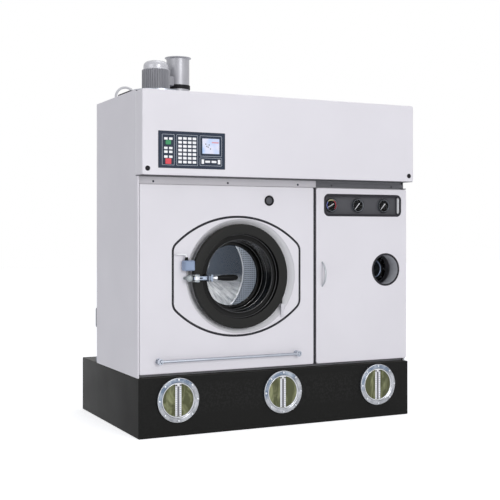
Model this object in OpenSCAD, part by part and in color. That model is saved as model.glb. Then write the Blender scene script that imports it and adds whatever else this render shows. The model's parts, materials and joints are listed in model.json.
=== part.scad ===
// Front-loading dry cleaning machine with a solvent base tank. Millimetres, +Z up.
// The origin is on the floor, under the middle of the bounding box. The front faces -Y.

/* [Cabinet] */
// Width of the machine
machine_w = 1760; // [1740:10:1900]
// Depth of the cabinet from the frame's front face to the rear panel
cabinet_d = 705; // [700:5:800]
// Height of the roof above the floor
roof_z = 1905; // [1890:5:2000]
// Thickness of the sheet steel panels
sheet_t = 2; // [1.5:0.5:3]
// Distance that the front panels stand in front of the frame
front_proud = 34; // [30:1:40]
// Size of the frame's steel sections
section = 42; // [38:1:50]
// Thickness of the frame's steel sections
section_t = 5; // [4:1:8]
// Height of the rear louvres
louvre_h = 8; // [6:1:12]
// Spacing of the rear louvres
louvre_pitch = 26; // [20:1:40]

/* [Base tank] */
// Height of the base tank
base_h = 330; // [320:5:360]
// Distance that the base tank stands in front of the frame
base_out = 49; // [44:1:60]
// Depth of the base tank's ledge behind the cabinet
ledge = 303; // [290:1:340]
// Thickness of the tank's plates
plate_t = 5; // [4:1:8]
// Spacing of the sight glasses
sight_pitch = 652; // [500:2:660]
// Height of the sight glasses' centres
sight_z = 200; // [180:1:205]
// Outer radius of a sight glass flange
sight_r = 123; // [118:1:124]
// Radius of the clear view through a sight glass
sight_view_r = 90; // [80:1:94]
// Radius of the circle that a sight flange's bolts stand on
sight_bolt_r = 113; // [110:0.5:114]
// Thickness of a sight flange
sight_t = 16; // [12:1:22]
// Thickness of a sight glass
sight_glass_t = 8; // [6:1:10]
// Distance that a sight glass reaches under its flange
sight_seat = 7; // [5:1:10]
// Number of bolts on a flange
bolts = 8; // [6:1:12]
// Radius of a flange bolt's shank
bolt_r = 4; // [3:0.5:5]
// Width of a level strip
strip_w = 29; // [24:1:36]
// Width of the slot in a level strip
strip_slot = 9; // [6:1:12]
// Thickness of a level strip
strip_t = 3; // [2:0.5:5]

/* [Front panels] */
// Height of the lower edge of the front panels
panel_low = 346; // [340:1:350]
// Height of the upper edge of the front panels
panel_high = 1390; // [1385:1:1395]
// Distance from the machine's left side to the left panel
left_margin = 11; // [8:1:16]
// Distance from the machine's middle to the right edge of the left panel
split_x = 219; // [200:1:230]
// Gap between the left panel and the service door
panel_gap = 18; // [10:1:20]
// Width of the strips above the front panels
strip_h = 40; // [30:1:42]
// Distance from the end of a strip to its outer screw
screw_in = 91; // [60:1:110]
// Width of the rubber seam round the door surround
seam_w = 10; // [8:1:12]
// Half the width of the door surround
surround_hw = 399; // [392:1:402]
// Half the height of the door surround
surround_hh = 338; // [332:1:345]
// Half the height of the surround where its arches would meet its sides
surround_side = 168; // [150:1:180]
// Radius of the surround's corners
surround_corner = 65; // [50:1:80]
// Distance that the surround's middle lies to the left of the door's
surround_shift = 12; // [8:1:14]

/* [Handrail and round caps] */
// Height of the handrail
rail_z = 417; // [400:1:430]
// Distance from the left panel's left edge to the handrail's left end
rail_left = 109; // [90:1:130]
// Distance from the left panel's right edge to the handrail's right end
rail_right = 119; // [90:1:140]
// Radius of the handrail
rail_r = 7; // [5:0.5:9]
// Distance of the handrail in front of the panel
rail_off = 32; // [26:1:36]
// Radius of the handrail's end bosses
boss_r = 17; // [14:0.5:20]
// Radius of the header's lock caps
cap_r = 14; // [10:0.5:16]
// Radius of the plug in the left panel
plug_r = 30; // [24:1:34]

/* [Header] */
// Height of the header's lower edge
header_low = 1435; // [1433:1:1440]
// Height of the header's upper edge
header_high = 1900; // [1880:1:1904]
// Distance from the frame to the front face of the header
header_out = 107.5; // [104:0.5:120]
// Width of the control panel
control_w = 397; // [390:1:410]
// Height of the control panel
control_h = 202; // [198:1:210]
// Distance from the machine's left side to the control panel
control_in = 91; // [80:1:110]
// Height of the control panel's lower edge
control_z = 1474; // [1465:1:1490]
// Distance that the control panel stands in front of the header
control_proud = 1.5; // [1:0.5:3]
// Distance that a key stands in front of the control panel
key_t = 0.6; // [0.4:0.1:1]
// Columns of the keypad
key_cols = 4; // [3:1:4]
// Rows of the keypad
key_rows = 7; // [5:1:7]
// Width of a key
key_w = 21; // [16:1:24]
// Height of a key
key_h = 14; // [10:1:16]
// Spacing of the key columns
key_dx = 28.2; // [26:0.2:29]
// Spacing of the key rows
key_dz = 21.5; // [18:0.5:22]
// Width of the display
display_w = 109; // [90:1:112]
// Height of the display
display_h = 90; // [80:1:92]
// Radius of the start button
start_r = 12; // [9:0.5:13]
// Radius of the stop button
stop_r = 15; // [12:0.5:16]
// Travel of the two push buttons
press = 2.5; // [2:0.5:3]

/* [Loading door] */
// Distance of the door's middle from the machine's middle
door_x = -264; // [-270:1:-258]
// Height of the door's middle
door_z = 875; // [870:1:880]
// Outer radius of the door ring
ring_r = 297.5; // [290:0.5:300]
// Inner radius of the door ring's front flange
ring_in = 241; // [232:1:246]
// Distance of the ring's front face in front of the panels
ring_proud = 21; // [16:1:26]
// Depth of the door ring's rim
rim_d = 22; // [18:1:23]
// Depth of the step behind the front flange
step_d = 28; // [22:1:32]
// Radius of the door's bowl at its front
bowl_r = 205; // [198:1:208]
// Radius of the door's bowl at its back
bowl_back_r = 196; // [192:1:197]
// Depth of the glass behind the ring's front face
bowl_d = 146; // [130:1:148]
// Thickness of the door casting
cast_t = 8; // [6:1:10]
// Radius of the clear door glass
glass_r = 174; // [165:1:180]
// Thickness of the door glass
glass_t = 8; // [6:1:10]
// Half the height of the dished recess at the panel's face
dish_r = 326; // [324:1:328]
// Half the width of the dished recess at the panel's face
dish_hw = 344; // [340:1:350]
// Distance that the recess's middle lies to the right of the door's
dish_shift = 12; // [8:1:14]
// Radius of the dished recess at its floor
dish_floor_r = 282; // [280:1:286]
// Depth of the dished recess
dish_d = 60; // [60:1:64]
// Inner radius of the tub's mouth
mouth_r = 240; // [236:1:246]
// Distance of the hinge rod inside the ring's right edge
hinge_in = 28.5; // [27:0.5:29]
// Distance of the hinge rod behind the panels' face
hinge_back = 12; // [12:0.5:13]
// Radius of the hinge pins
pin_r = 6; // [5:0.5:6.5]
// Height of the door's hinge knuckles
knuckle_h = 30; // [24:1:34]
// Distance from the door's middle up to its upper knuckle
knuckle_up = 70; // [66:1:74]
// Distance from the door's middle down to its lower knuckle
knuckle_down = 165; // [162:1:168]
// Height of the hinge bracket's lugs
lug_h = 20; // [16:1:22]
// Distance from the door's middle down to the foot of the hinge bracket
bracket_down = 243; // [236:1:250]

/* [Door latch] */
// Distance that the latch lies under the door's middle
latch_drop = 5; // [0:1:10]
// Distance from the ring's edge to the latch pin
latch_in = 14; // [12:0.5:16]
// Distance from the latch pin to the start of the grip
grip_start = 118; // [110:1:125]
// Length of the grip
grip_len = 129; // [110:1:140]
// Radius of the grip
grip_r = 18; // [14:0.5:20]
// Distance of the lever in front of the ring
lever_off = 27; // [25:0.5:30]
// Half the height of the latch block
block_hh = 20.5; // [18:0.5:24]
// Radius of the latch keeper
keeper_r = 18.5; // [15:0.5:20]
// Width of the lock box
lock_w = 62; // [54:1:64]
// Height of the lock box
lock_h = 57; // [50:1:60]
// Depth of the lock box
lock_d = 46; // [36:1:50]
// Radius of the lock cable
cable_r = 4.5; // [3:0.5:5]

/* [Drum and drive] */
// Radius of the tub
tub_r = 460; // [455:1:462]
// Space between the tub and the rear panel for the bearings and the pulleys
drive_space = 127; // [127:1:170]
// Distance of the tub behind the frame's front face
tub_back = 118; // [112:1:120]
// Thickness of the tub
tub_t = 4; // [3:0.5:6]
// Radius of the drum
drum_r = 425; // [410:1:440]
// Thickness of the drum
drum_t = 3; // [2:0.5:5]
// Radius of the drum's front opening
drum_mouth_r = 225; // [215:1:240]
// Gap between the ends of the drum and the tub
drum_gap = 12; // [8:1:16]
// Number of lifters in the drum
lifters = 3; // [3:1:4]
// Height of a lifter
lifter_h = 60; // [40:1:80]
// Radius of the drum shaft
shaft_r = 30; // [25:1:34]
// Outer radius of a shaft bearing
bearing_r = 45; // [42:1:50]
// Width of a shaft bearing
bearing_w = 20; // [16:1:24]
// Radius of the drum pulley at the belt
pulley_r = 182; // [170:1:190]
// Radius of the motor pulley at the belt
motor_pulley_r = 34; // [30:1:40]
// Width of the pulleys
pulley_w = 30; // [26:1:34]
// Height of the pulleys' flanges
pulley_flange = 8; // [6:1:10]
// Thickness of the belt
belt_t = 7; // [5:1:7]
// Distance of the motor to the right of the drum's axis
motor_dx = 389; // [380:1:395]
// Distance of the motor under the drum's axis
motor_dz = 423; // [415:1:430]
// Radius of the drive motor
motor_r = 88; // [80:1:92]
// Length of the drive motor
motor_l = 340; // [300:5:360]
// Length of the bearing housing behind the tub
housing_l = 70; // [60:1:70]
// Radius of the housing's and the shaft's flanges
hub_r = 110; // [100:1:120]

/* [Service bay] */
// Distance from the machine's right side to the gauge and porthole column
porthole_in = 154; // [150:1:180]
// Height of the porthole
porthole_z = 897; // [880:1:910]
// Radius of the porthole
porthole_r = 100; // [90:1:105]
// Depth of the porthole's collar
collar_d = 95; // [80:1:100]
// Left edge of the gauge window
window_x = 289; // [285:1:300]
// Width of the gauge window
window_w = 551; // [545:1:555]
// Height of the gauge window
window_h = 134; // [126:1:140]
// Depth of the folded edge behind the gauge window
return_d = 24; // [16:1:25]
// Height of the gauges' centres
gauge_z = 1288; // [1280:1:1295]
// Spacing of the gauges
gauge_dx = 186; // [180:1:190]
// Outer radius of a gauge
gauge_r = 42; // [36:1:44]
// Needle angles in the rest pose, in degrees clockwise from straight up
needle_rest = [-118, -139, -139];
// Width of the rubber trims
trim_w = 7; // [5:1:9]
// Length of the door's pull handle
handle_l = 140; // [120:1:160]
// Radius of the pull handle
handle_r = 5.5; // [4:0.5:7]
// Distance that the pull handle stands in front of the door
handle_off = 38; // [34:1:45]
// Radius of the still
still_r = 205; // [180:1:210]
// Height of the still
still_h = 520; // [450:5:560]
// Outer radius of the still's sight cover
cover_r = 85; // [78:1:88]
// Radius of the still's sight glass
cover_view_r = 59; // [50:1:62]

/* [Roof] */
// Distance from the machine's left side to the fan's axis
fan_in = 292; // [280:1:300]
// Distance of the fan behind the machine's middle
fan_y = 14; // [0:1:20]
// Radius of the fan housing
fan_r = 150; // [140:1:160]
// Height of the fan housing
fan_h = 66; // [62:1:100]
// Radius of the fan impeller
impeller_r = 112; // [100:1:120]
// Number of impeller blades
blades = 12; // [8:1:16]
// Radius of the fan motor over its fins
fan_motor_r = 85; // [78:1:90]
// Height of the fan motor
fan_motor_h = 184; // [165:1:200]
// Radius of the fan motor's cap
fan_cap_r = 75; // [70:1:77]
// Number of fins on the fan motor
fins = 36; // [24:1:40]
// Distance from the fan's axis to the duct's, to the right
duct_dx = 175; // [170:1:185]
// Distance from the fan's axis to the duct's, to the rear
duct_dy = 82; // [76:1:90]
// Outer radius of the exhaust duct
duct_r = 70.5; // [66:0.5:74]
// Wall of the exhaust duct
duct_t = 2; // [1.5:0.5:3]
// Height of the exhaust duct
duct_h = 227; // [190:1:250]
// Radius of the duct's end flange
duct_flange_r = 81; // [78:1:84]
// Height of the duct's clamp above the fan housing
clamp_h = 32; // [8:1:50]
// Radius of the roof hose
hose_r = 7; // [5:0.5:9]
// Radius of the roof hose's bend
hose_bend = 60; // [45:1:64]
// Distance from the machine's left side to the middle of the hose's arch
hose_in = 80; // [76:1:90]

/* [Rear pump] */
// Distance from the machine's left side to the pump's axis
pump_in = 65; // [60:1:80]
// Distance from the rear panel to the pump's axis
pump_back = 58; // [56:1:70]
// Radius of the pump motor
pump_r = 52; // [44:1:54]
// Height of the pump under its motor
pump_h = 210; // [190:1:230]
// Length of the pump motor
pump_motor_h = 134; // [120:1:150]
// Radius of the pump's pipe
pump_pipe_r = 14; // [10:1:18]
// Length of the pump's pipe from the pump's axis
pump_pipe_l = 140; // [110:1:180]

/* [Fits] */
// Radial clearance of a shaft or a pin that turns in its bore
run_gap = 0.05; // [0.02:0.01:0.09]
// Gap between parts that pass each other
pass_gap = 0.5; // [0.4:0.1:1]

/* [Hidden] */
$fn = 96;
eps = 1; // overshoot of a cut past a face

half_w = machine_w / 2;
button_face = control_proud + press + 0.5; // a button's face in front of the header
total_d = button_face + header_out + cabinet_d + ledge;
button_y = -total_d / 2;
header_y = button_y + button_face;
frame_y = header_y + header_out;
rear_y = frame_y + cabinet_d;
base_y = frame_y - base_out;
base_rear_y = rear_y + ledge;
panel_y = frame_y - front_proud;
control_y = header_y - control_proud;
panel_x0 = -half_w + left_margin;
rail_x = [panel_x0 + rail_left, split_x - rail_right];
control_x = -half_w + control_in;
fan_x = -half_w + fan_in;
hose_x = -half_w + hose_in;
service_x0 = split_x + panel_gap;
inner_w = half_w - sheet_t;
sight_x = [-sight_pitch, 0, sight_pitch];
sight_y = base_y - sight_t;
sight_glass_y = base_y - sight_glass_t;
ring_y = panel_y - ring_proud;
dish_y = panel_y + dish_d;
bowl_y = ring_y + bowl_d;
surround_x = door_x - surround_shift;
hinge_x = door_x + ring_r - hinge_in;
hinge_y = panel_y + hinge_back;
knuckle_r = 9;
knuckles = [door_z - knuckle_down, door_z + knuckle_up]; // lower ends of the door's knuckles
lugs = [knuckles[0] - pass_gap - lug_h, knuckles[1] + knuckle_h + pass_gap]; // lower ends
dish_stretch = dish_hw / dish_r;
latch_x = door_x - ring_r + latch_in;
latch_y = ring_y - lever_off;
latch_z = door_z - latch_drop;
keeper_x = latch_x - 45;
lock_x = keeper_x - 31.5;
lock_z = door_z + 37;
tub_y = frame_y + tub_back;
tub_rear_y = rear_y - drive_space;
drum_y = tub_y + drum_gap;
drum_rear_y = tub_rear_y - tub_t - drum_gap;
hub_t = 8; // shaft flange behind the drum
housing_t = 10; // flange of the bearing housing
pulley_y = tub_rear_y + housing_l + 6;
shaft_end_y = pulley_y + pulley_w + 6;
motor_x = door_x + motor_dx;
motor_z = door_z - motor_dz;
motor_end_y = pulley_y - 18;
motor_shaft_r = 14;
window_z = gauge_z - window_h / 2;
gauge_x = [for (i = [-2 : 0]) half_w - porthole_in + i * gauge_dx];
gauge_plate_t = 3;
gauge_plate_y = frame_y - gauge_plate_t;
bezel_d = 15; // depth of a gauge in front of its plate
bezel_y = gauge_plate_y - bezel_d;
porthole_x = half_w - porthole_in;
service_pin_x = half_w - 10;
service_pin_y = panel_y + 12;
cover_y = panel_y + collar_d + 38;
cover_t = 14;
still_x = porthole_x - 86;
still_y = cover_y + 260;
still_z = porthole_z - still_h * 0.6;
fan_top = roof_z + fan_h;
fan_motor_z = fan_top;
duct_x = fan_x + duct_dx;
duct_y = fan_y + duct_dy;
pump_x = -half_w + pump_in;
pump_y = rear_y + pump_back;
rubber = [0.12, 0.12, 0.12];
white_paint = [0.86, 0.86, 0.88];
steel = [0.72, 0.74, 0.77];
dark_paint = [0.2, 0.2, 0.2];

// A flat outline in X and Z, made t thick from y to y + t
module plate_y(y, t) {
    translate([0, y + t, 0]) rotate([90, 0, 0]) linear_extrude(t) children();
}

// A profile of [radius, y] points turned about an axis along Y through x and z
module turned(x, z, profile) {
    translate([x, 0, z]) rotate([-90, 0, 0]) rotate_extrude() polygon(profile);
}

// A round bar along Y from y0 to y1
module bar_y(x, z, y0, y1, r) {
    translate([x, y0, z]) rotate([-90, 0, 0]) cylinder(h = y1 - y0, r = r);
}

// A box from its low corner to its high corner
module box(low, high) {
    translate(low) cube(high - low);
}

// A flat rectangle with round corners
module round_rect(x0, z0, w, h, r) {
    translate([x0 + r, z0]) square([w - 2 * r, h]);
    translate([x0, z0 + r]) square([w, h - 2 * r]);
    for (x = [x0 + r, x0 + w - r], z = [z0 + r, z0 + h - r])
        translate([x, z]) circle(r);
}

// A quarter turn of round bar about Z, from the X axis to the Y axis
module quarter_bend(bend_r, r) {
    rotate_extrude(angle = 90) translate([bend_r, 0]) circle(r, $fn = 32);
}

// The door surround's outline, grown by g: straight sides, arches, and round corners
// that touch both
module surround_outline(g = 0) {
    rise = surround_hh - surround_side;
    arch_r = (surround_hw * surround_hw + rise * rise) / (2 * rise);
    corner_x = surround_hw - surround_corner;
    corner_z = surround_hh - arch_r + sqrt(pow(arch_r - surround_corner, 2) - pow(corner_x, 2));
    touch_x = corner_x * (arch_r + g) / (arch_r - surround_corner);
    translate([surround_x, door_z]) {
        square([2 * (surround_hw + g), 2 * corner_z], center = true);
        intersection() {
            square([2 * touch_x, 2 * (surround_hh + g)], center = true);
            translate([0, surround_hh - arch_r]) circle(arch_r + g, $fn = 240);
            translate([0, arch_r - surround_hh]) circle(arch_r + g, $fn = 240);
        }
        for (x = [-corner_x, corner_x], z = [-corner_z, corner_z])
            translate([x, z]) circle(surround_corner + g);
    }
}

// ---------- Base tank ----------

module base_tank() color(dark_paint) difference() {
    box([-half_w, base_y, 0], [half_w, base_rear_y, base_h]);
    chamber_w = (2 * half_w - 4 * plate_t) / 3;
    for (i = [0 : 2]) translate([-half_w + plate_t + i * (chamber_w + plate_t), 0, 0])
        box([0, base_y + plate_t, plate_t],
            [chamber_w, base_rear_y - plate_t, base_h - plate_t]);
    for (x = sight_x) {
        bar_y(x, sight_z, base_y - eps, base_y + plate_t + eps, sight_view_r);
        bolt_holes(x, sight_z, sight_bolt_r, base_y - eps, base_y + plate_t + eps, bolt_r);
    }
}

module bolt_holes(x, z, circle_r, y0, y1, r) {
    for (i = [0 : bolts - 1])
        bar_y(x + circle_r * sin(i * 360 / bolts), z + circle_r * cos(i * 360 / bolts),
            y0, y1, r, $fn = 24);
}

module sight_flanges() color([0.62, 0.64, 0.68]) for (x = sight_x) difference() {
    turned(x, sight_z, [[sight_view_r, sight_y + 4], [sight_view_r + 5, sight_y],
        [sight_r - 4, sight_y], [sight_r, sight_y + 4], [sight_r, base_y],
        [sight_view_r + sight_seat, base_y], [sight_view_r + sight_seat, sight_glass_y],
        [sight_view_r, sight_glass_y]]);
    bolt_holes(x, sight_z, sight_bolt_r, sight_y - eps, base_y + eps, bolt_r);
}

module sight_glasses() color([0.55, 0.58, 0.4, 0.6]) {
    for (x = sight_x) bar_y(x, sight_z, sight_glass_y, base_y, sight_view_r + sight_seat);
    bar_y(porthole_x, porthole_z, cover_y + cover_t - 6, cover_y + cover_t, cover_view_r + 5);
    for (x = gauge_x) bar_y(x, gauge_z, bezel_y + 2, bezel_y + 4, gauge_r - 5);
}

module level_strips() color("white") for (x = sight_x)
    plate_y(sight_glass_y - strip_t, strip_t) difference() {
        intersection() {
            translate([x, sight_z]) circle(sight_view_r - pass_gap);
            translate([x - strip_w / 2, sight_z - sight_view_r])
                square([strip_w, 2 * sight_view_r]);
        }
        translate([x - strip_slot / 2, sight_z - sight_view_r])
            square([strip_slot, 2 * sight_view_r - strip_w / 2]);
    }

// Hexagon head on a flange, with its shank behind it
module flange_bolt(x, z, y, shank_l) {
    bar_y(x, z, y - 5, y, bolt_r * 1.75, $fn = 6);
    bar_y(x, z, y, y + shank_l, bolt_r - run_gap, $fn = 24);
}

module flange_bolts() color(steel) {
    for (x = sight_x, i = [0 : bolts - 1])
        flange_bolt(x + sight_bolt_r * sin(i * 360 / bolts),
            sight_z + sight_bolt_r * cos(i * 360 / bolts), sight_y, sight_t + plate_t);
    for (i = [0 : bolts - 1])
        flange_bolt(porthole_x + (cover_r - 11) * sin(i * 360 / bolts),
            porthole_z + (cover_r - 11) * cos(i * 360 / bolts), cover_y, cover_t + 10);
}

// ---------- Frame and panels ----------

// Upright angle section with its corner at x and y; sx and sy point along its legs
module post(x, y, sx, sy) translate([x, y, base_h])
    linear_extrude(roof_z - sheet_t - base_h) {
        translate([sx < 0 ? -section : 0, sy < 0 ? -section_t : 0]) square([section, section_t]);
        translate([sx < 0 ? -section_t : 0, sy < 0 ? -section : 0]) square([section_t, section]);
    }

module cabinet_frame() color([0.45, 0.45, 0.47]) difference() {
    union() {
        for (side = [-1, 1]) {
            post(side * inner_w, frame_y, -side, 1);
            post(side * inner_w, rear_y - sheet_t, -side, -1);
        }
        mid = (split_x + service_x0) / 2;
        box([mid - section / 2, frame_y, base_h],
            [mid + section / 2, frame_y + section_t, roof_z - sheet_t]);
        for (z = [panel_high + 2, roof_z - sheet_t - section])
            box([-inner_w, frame_y, z], [inner_w, frame_y + section_t, z + section]);
        box([-inner_w, frame_y, base_h], [inner_w, frame_y + section_t, panel_low + 12]);
        box([-inner_w, rear_y - sheet_t - section_t, roof_z - sheet_t - section],
            [inner_w, rear_y - sheet_t, roof_z - sheet_t]);
        for (side = [-1, 1]) translate([side * (inner_w - section_t / 2), 0, 0])
            box([-section_t / 2, frame_y, roof_z - sheet_t - section],
                [section_t / 2, rear_y - sheet_t, roof_z - sheet_t]);
        box([service_pin_x - 10, service_pin_y - 9, panel_high + 1],
            [inner_w, frame_y + eps, panel_high + 7]);
    }
    for (p = screw_places) bar_y(p.x, p.y, frame_y - eps, frame_y + section_t + eps, screw_r);
    translate([service_pin_x, service_pin_y, panel_high]) cylinder(h = 10, r = pin_r - 1);
}

// A side sheet from the base tank to the roof; side is -1 at the left and 1 at the right
module side_panel(side) color(white_paint) {
    box([min(side * half_w, side * inner_w), frame_y, base_h],
        [max(side * half_w, side * inner_w), rear_y, roof_z - sheet_t]);
}

module left_side_panel() side_panel(-1);

module right_side_panel() side_panel(1);

module rear_panel() color(white_paint) difference() {
    box([-inner_w, rear_y - sheet_t, base_h], [inner_w, rear_y, roof_z - sheet_t]);
    for (x = [-0.5, 0.5] * machine_w / 2, i = [0 : 9])
        box([x - 150, rear_y - sheet_t - eps, 1500 + i * louvre_pitch],
            [x + 150, rear_y + eps, 1500 + i * louvre_pitch + louvre_h]);
}

module roof_panel() color(white_paint) difference() {
    box([-half_w, frame_y, roof_z - sheet_t], [half_w, rear_y, roof_z]);
    translate([fan_x, fan_y, roof_z - sheet_t - eps]) cylinder(h = sheet_t + 2 * eps, r = 80);
    for (side = [-1, 1]) translate([hose_x + side * hose_bend, hose_y, roof_z - sheet_t - eps])
        cylinder(h = sheet_t + 2 * eps, r = hose_r);
}

// A front panel folded into a pan from its outline's box
module pan(x0, x1) {
    difference() {
        box([x0, panel_y, panel_low], [x1, frame_y, panel_high]);
        box([x0 + sheet_t, panel_y + sheet_t, panel_low + sheet_t],
            [x1 - sheet_t, frame_y + eps, panel_high - sheet_t]);
    }
}

plug_x = split_x - 297; // plug in the left panel
plug_z = panel_high - 82;
rail_bolt_r = 5;

module front_panel() color(white_paint) difference() {
    pan(panel_x0, split_x);
    plate_y(panel_y - eps, sheet_t + 2 * eps) surround_outline(seam_w / 2);
    bar_y(plug_x, plug_z, panel_y - eps, panel_y + sheet_t + eps, plug_r - 6);
    for (x = rail_x) bar_y(x, rail_z, panel_y - eps, panel_y + sheet_t + eps, rail_bolt_r);
}

// The dished recess's space: an oval cone in front of its floor, grown by g
module dish_space(g = 0) {
    translate([door_x + dish_shift, 0, door_z]) scale([dish_stretch, 1, 1])
        translate([-door_x, 0, -door_z]) turned(door_x, door_z, [[0, panel_y], [dish_r + g, panel_y], [dish_floor_r + g, dish_y + g],
            [0, dish_y + g]]);
}

module door_surround() color(white_paint) difference() {
    union() {
        plate_y(panel_y, sheet_t) surround_outline(-seam_w / 2);
        dish_space(sheet_t);
    }
    dish_space();
    bar_y(door_x, door_z, panel_y - eps, dish_y + sheet_t + eps, mouth_r);
    bar_y(cable_hole_x, cable_hole_z, panel_y - eps, panel_y + sheet_t + eps, cable_r);
}

// Rubber profile that grips the edges of the panel and the surround
module surround_seal() color(rubber) plate_y(panel_y - 2, sheet_t + 4) difference() {
    surround_outline(seam_w / 2);
    surround_outline(-seam_w / 2);
}

screw_r = 3;
screw_x = [panel_x0 + screw_in, (panel_x0 + split_x) / 2, split_x - screw_in,
    service_x0 + 123, half_w - screw_in];
screw_places = [for (x = screw_x) [x, panel_high + 16]];

module lintel_strips() color([0.4, 0.4, 0.42]) plate_y(frame_y - sheet_t, sheet_t) {
    difference() {
        union() {
            translate([panel_x0, panel_high + 2]) square([split_x - panel_x0, strip_h]);
            translate([service_x0 + 16, panel_high + 8])
                square([half_w - service_x0 - 18, strip_h - 15]);
        }
        for (p = screw_places) translate(p) circle(screw_r);
    }
}

module panel_screws() color([0.3, 0.3, 0.3]) for (p = screw_places) {
    bar_y(p.x, p.y, frame_y - sheet_t - 3, frame_y - sheet_t, 2 * screw_r);
    bar_y(p.x, p.y, frame_y - sheet_t, frame_y + section_t, screw_r - run_gap);
}

module grab_rail() color(steel) {
    rail_y = panel_y - rail_off;
    for (x = rail_x) {
        bar_y(x, rail_z, rail_y - rail_r, panel_y, boss_r);
        bar_y(x, rail_z, panel_y, panel_y + sheet_t + 6, rail_bolt_r - run_gap);
    }
    translate([rail_x[0], rail_y, rail_z]) rotate([0, 90, 0])
        cylinder(h = rail_x[1] - rail_x[0], r = rail_r);
}

cap_z = header_low + 35;
cap_x = [-half_w + 31, half_w - 33];

module round_caps() color(rubber) {
    for (x = cap_x) {
        bar_y(x, cap_z, header_y - 2, header_y, cap_r);
        bar_y(x, cap_z, header_y, header_y + sheet_t + 8, cap_r - 3);
    }
    turned(plug_x, plug_z, [[0, panel_y - 2], [plug_r - 9, panel_y - 2],
        [plug_r - 6, panel_y - 6], [plug_r, panel_y - 4], [plug_r, panel_y],
        [plug_r - 6, panel_y], [plug_r - 6, panel_y + sheet_t + 6], [0, panel_y + sheet_t + 6]]);
}

// ---------- Header and controls ----------

module header_shell() color(white_paint) difference() {
    box([-half_w, header_y, header_low], [half_w, frame_y, header_high]);
    box([-inner_w, header_y + sheet_t, header_low + sheet_t],
        [inner_w, frame_y + eps, header_high - sheet_t]);
    box([control_x + 10, header_y - eps, control_z + 10],
        [control_x + control_w - 10, header_y + sheet_t + eps, control_z + control_h - 10]);
    for (x = cap_x)
        bar_y(x, cap_z, header_y - eps, header_y + sheet_t + eps, cap_r - 3);
}

start_at = [control_x + 57.5, control_z + 140];
stop_at = [control_x + 57.5, control_z + 37];
display_at = [control_x + 256, control_z + 82];

module control_panel() color([0.23, 0.26, 0.32]) difference() {
    union() {
        plate_y(control_y, control_proud)
            translate([control_x, control_z]) square([control_w, control_h]);
        box([control_x + 11, header_y, control_z + 11],
            [control_x + control_w - 11, header_y + 30, control_z + control_h - 11]);
    }
    plate_y(control_y - eps, 5) translate(display_at) square([display_w, display_h]);
    push_bore(start_at, start_r);
    push_bore(stop_at, stop_r);
}

// Stepped bore of a push button: a running fit in front and room for its foot behind
module push_bore(at, r) {
    bar_y(at.x, at.y, control_y - eps, header_y + 9, r + run_gap);
    bar_y(at.x, at.y, header_y + 8, header_y + 12 + press + 8, r + 3);
}

module push_button(at, r) {
    bar_y(at.x, at.y, button_y, header_y + 10, r);
    bar_y(at.x, at.y, header_y + 8 + pass_gap, header_y + 12, r + 2);
}

module start_button() color([0.25, 0.6, 0.42]) push_button(start_at, start_r);

module stop_button() color([0.85, 0.25, 0.3]) push_button(stop_at, stop_r);

// One membrane with raised keys in front of the control panel
module keypad() color("white") plate_y(control_y - key_t, key_t) {
    for (i = [0 : key_cols - 1], j = [0 : key_rows - 1])
        translate([control_x + 127 + i * key_dx - key_w / 2, control_z + 35 + j * key_dz - key_h / 2])
            square([key_w, key_h]);
    for (x = [44, 72.5], z = [60, 87, 108, 158.5])
        translate([control_x + x - 9, control_z + z - 6]) square([18, 12]);
    for (k = [[262, 17, 25], [291, 31, 15], [329.5, 31, 15], [360, 17, 25]])
        translate([control_x + k[0] - k[1] / 2, control_z + 41 - k[2] / 2]) square([k[1], k[2]]);
}

module display() color([0.8, 0.9, 0.98]) {
    plate_y(control_y, 4) translate(display_at) square([display_w, display_h]);
    plate_y(control_y - key_t, key_t) translate(display_at) difference() {
        translate([-8, -8]) square([display_w + 16, display_h + 16]);
        translate([4, 4]) square([display_w - 8, display_h - 8]);
    }
}

// ---------- Loading door ----------

module door_ring() color(rubber) difference() {
    union() {
        turned(door_x, door_z, [[ring_in, ring_y], [ring_r - 5, ring_y], [ring_r, ring_y + 5],
            [ring_r, ring_y + rim_d], [ring_r - cast_t, ring_y + rim_d],
            [ring_r - cast_t, ring_y + cast_t], [ring_in + cast_t, ring_y + cast_t],
            [ring_in + cast_t, ring_y + step_d + cast_t],
            [bowl_r + cast_t, ring_y + step_d + cast_t],
            [bowl_back_r + cast_t, bowl_y + 9], [bowl_back_r - 8, bowl_y + 9],
            [bowl_back_r - 8, bowl_y + 4], [bowl_back_r, bowl_y + 4],
            [bowl_r, ring_y + step_d], [ring_in, ring_y + step_d]]);
        for (z = knuckles) {
            box([hinge_x - 34, ring_y + cast_t - eps, z], [hinge_x - 24, hinge_y + 5, z + knuckle_h]);
            box([hinge_x - 25, hinge_y - 5, z], [hinge_x, hinge_y + 5, z + knuckle_h]);
            translate([hinge_x, hinge_y, z]) cylinder(h = knuckle_h, r = knuckle_r);
        }
        for (side = [-1, 1]) latch_ear(side);
    }
    for (z = knuckles) translate([hinge_x, hinge_y, z - eps])
        cylinder(h = knuckle_h + 2 * eps, r = pin_r + run_gap);
    translate([latch_x, latch_y, latch_z - block_hh - eps])
        cylinder(h = 2 * block_hh + 2 * eps, r = pin_r - 1);
}

// An ear of the latch block, above or below the lever
module latch_ear(side) {
    z0 = latch_z + side * (block_hh - 4) - 4;
    box([latch_x - 12, latch_y, z0], [latch_x + 15, ring_y + eps, z0 + 8]);
    translate([latch_x, latch_y, z0]) cylinder(h = 8, r = 12);
}

module door_glass() color([0.7, 0.8, 0.85, 0.4])
    bar_y(door_x, door_z, bowl_y + 3, bowl_y + 3 + glass_t, glass_r + 8);

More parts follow.
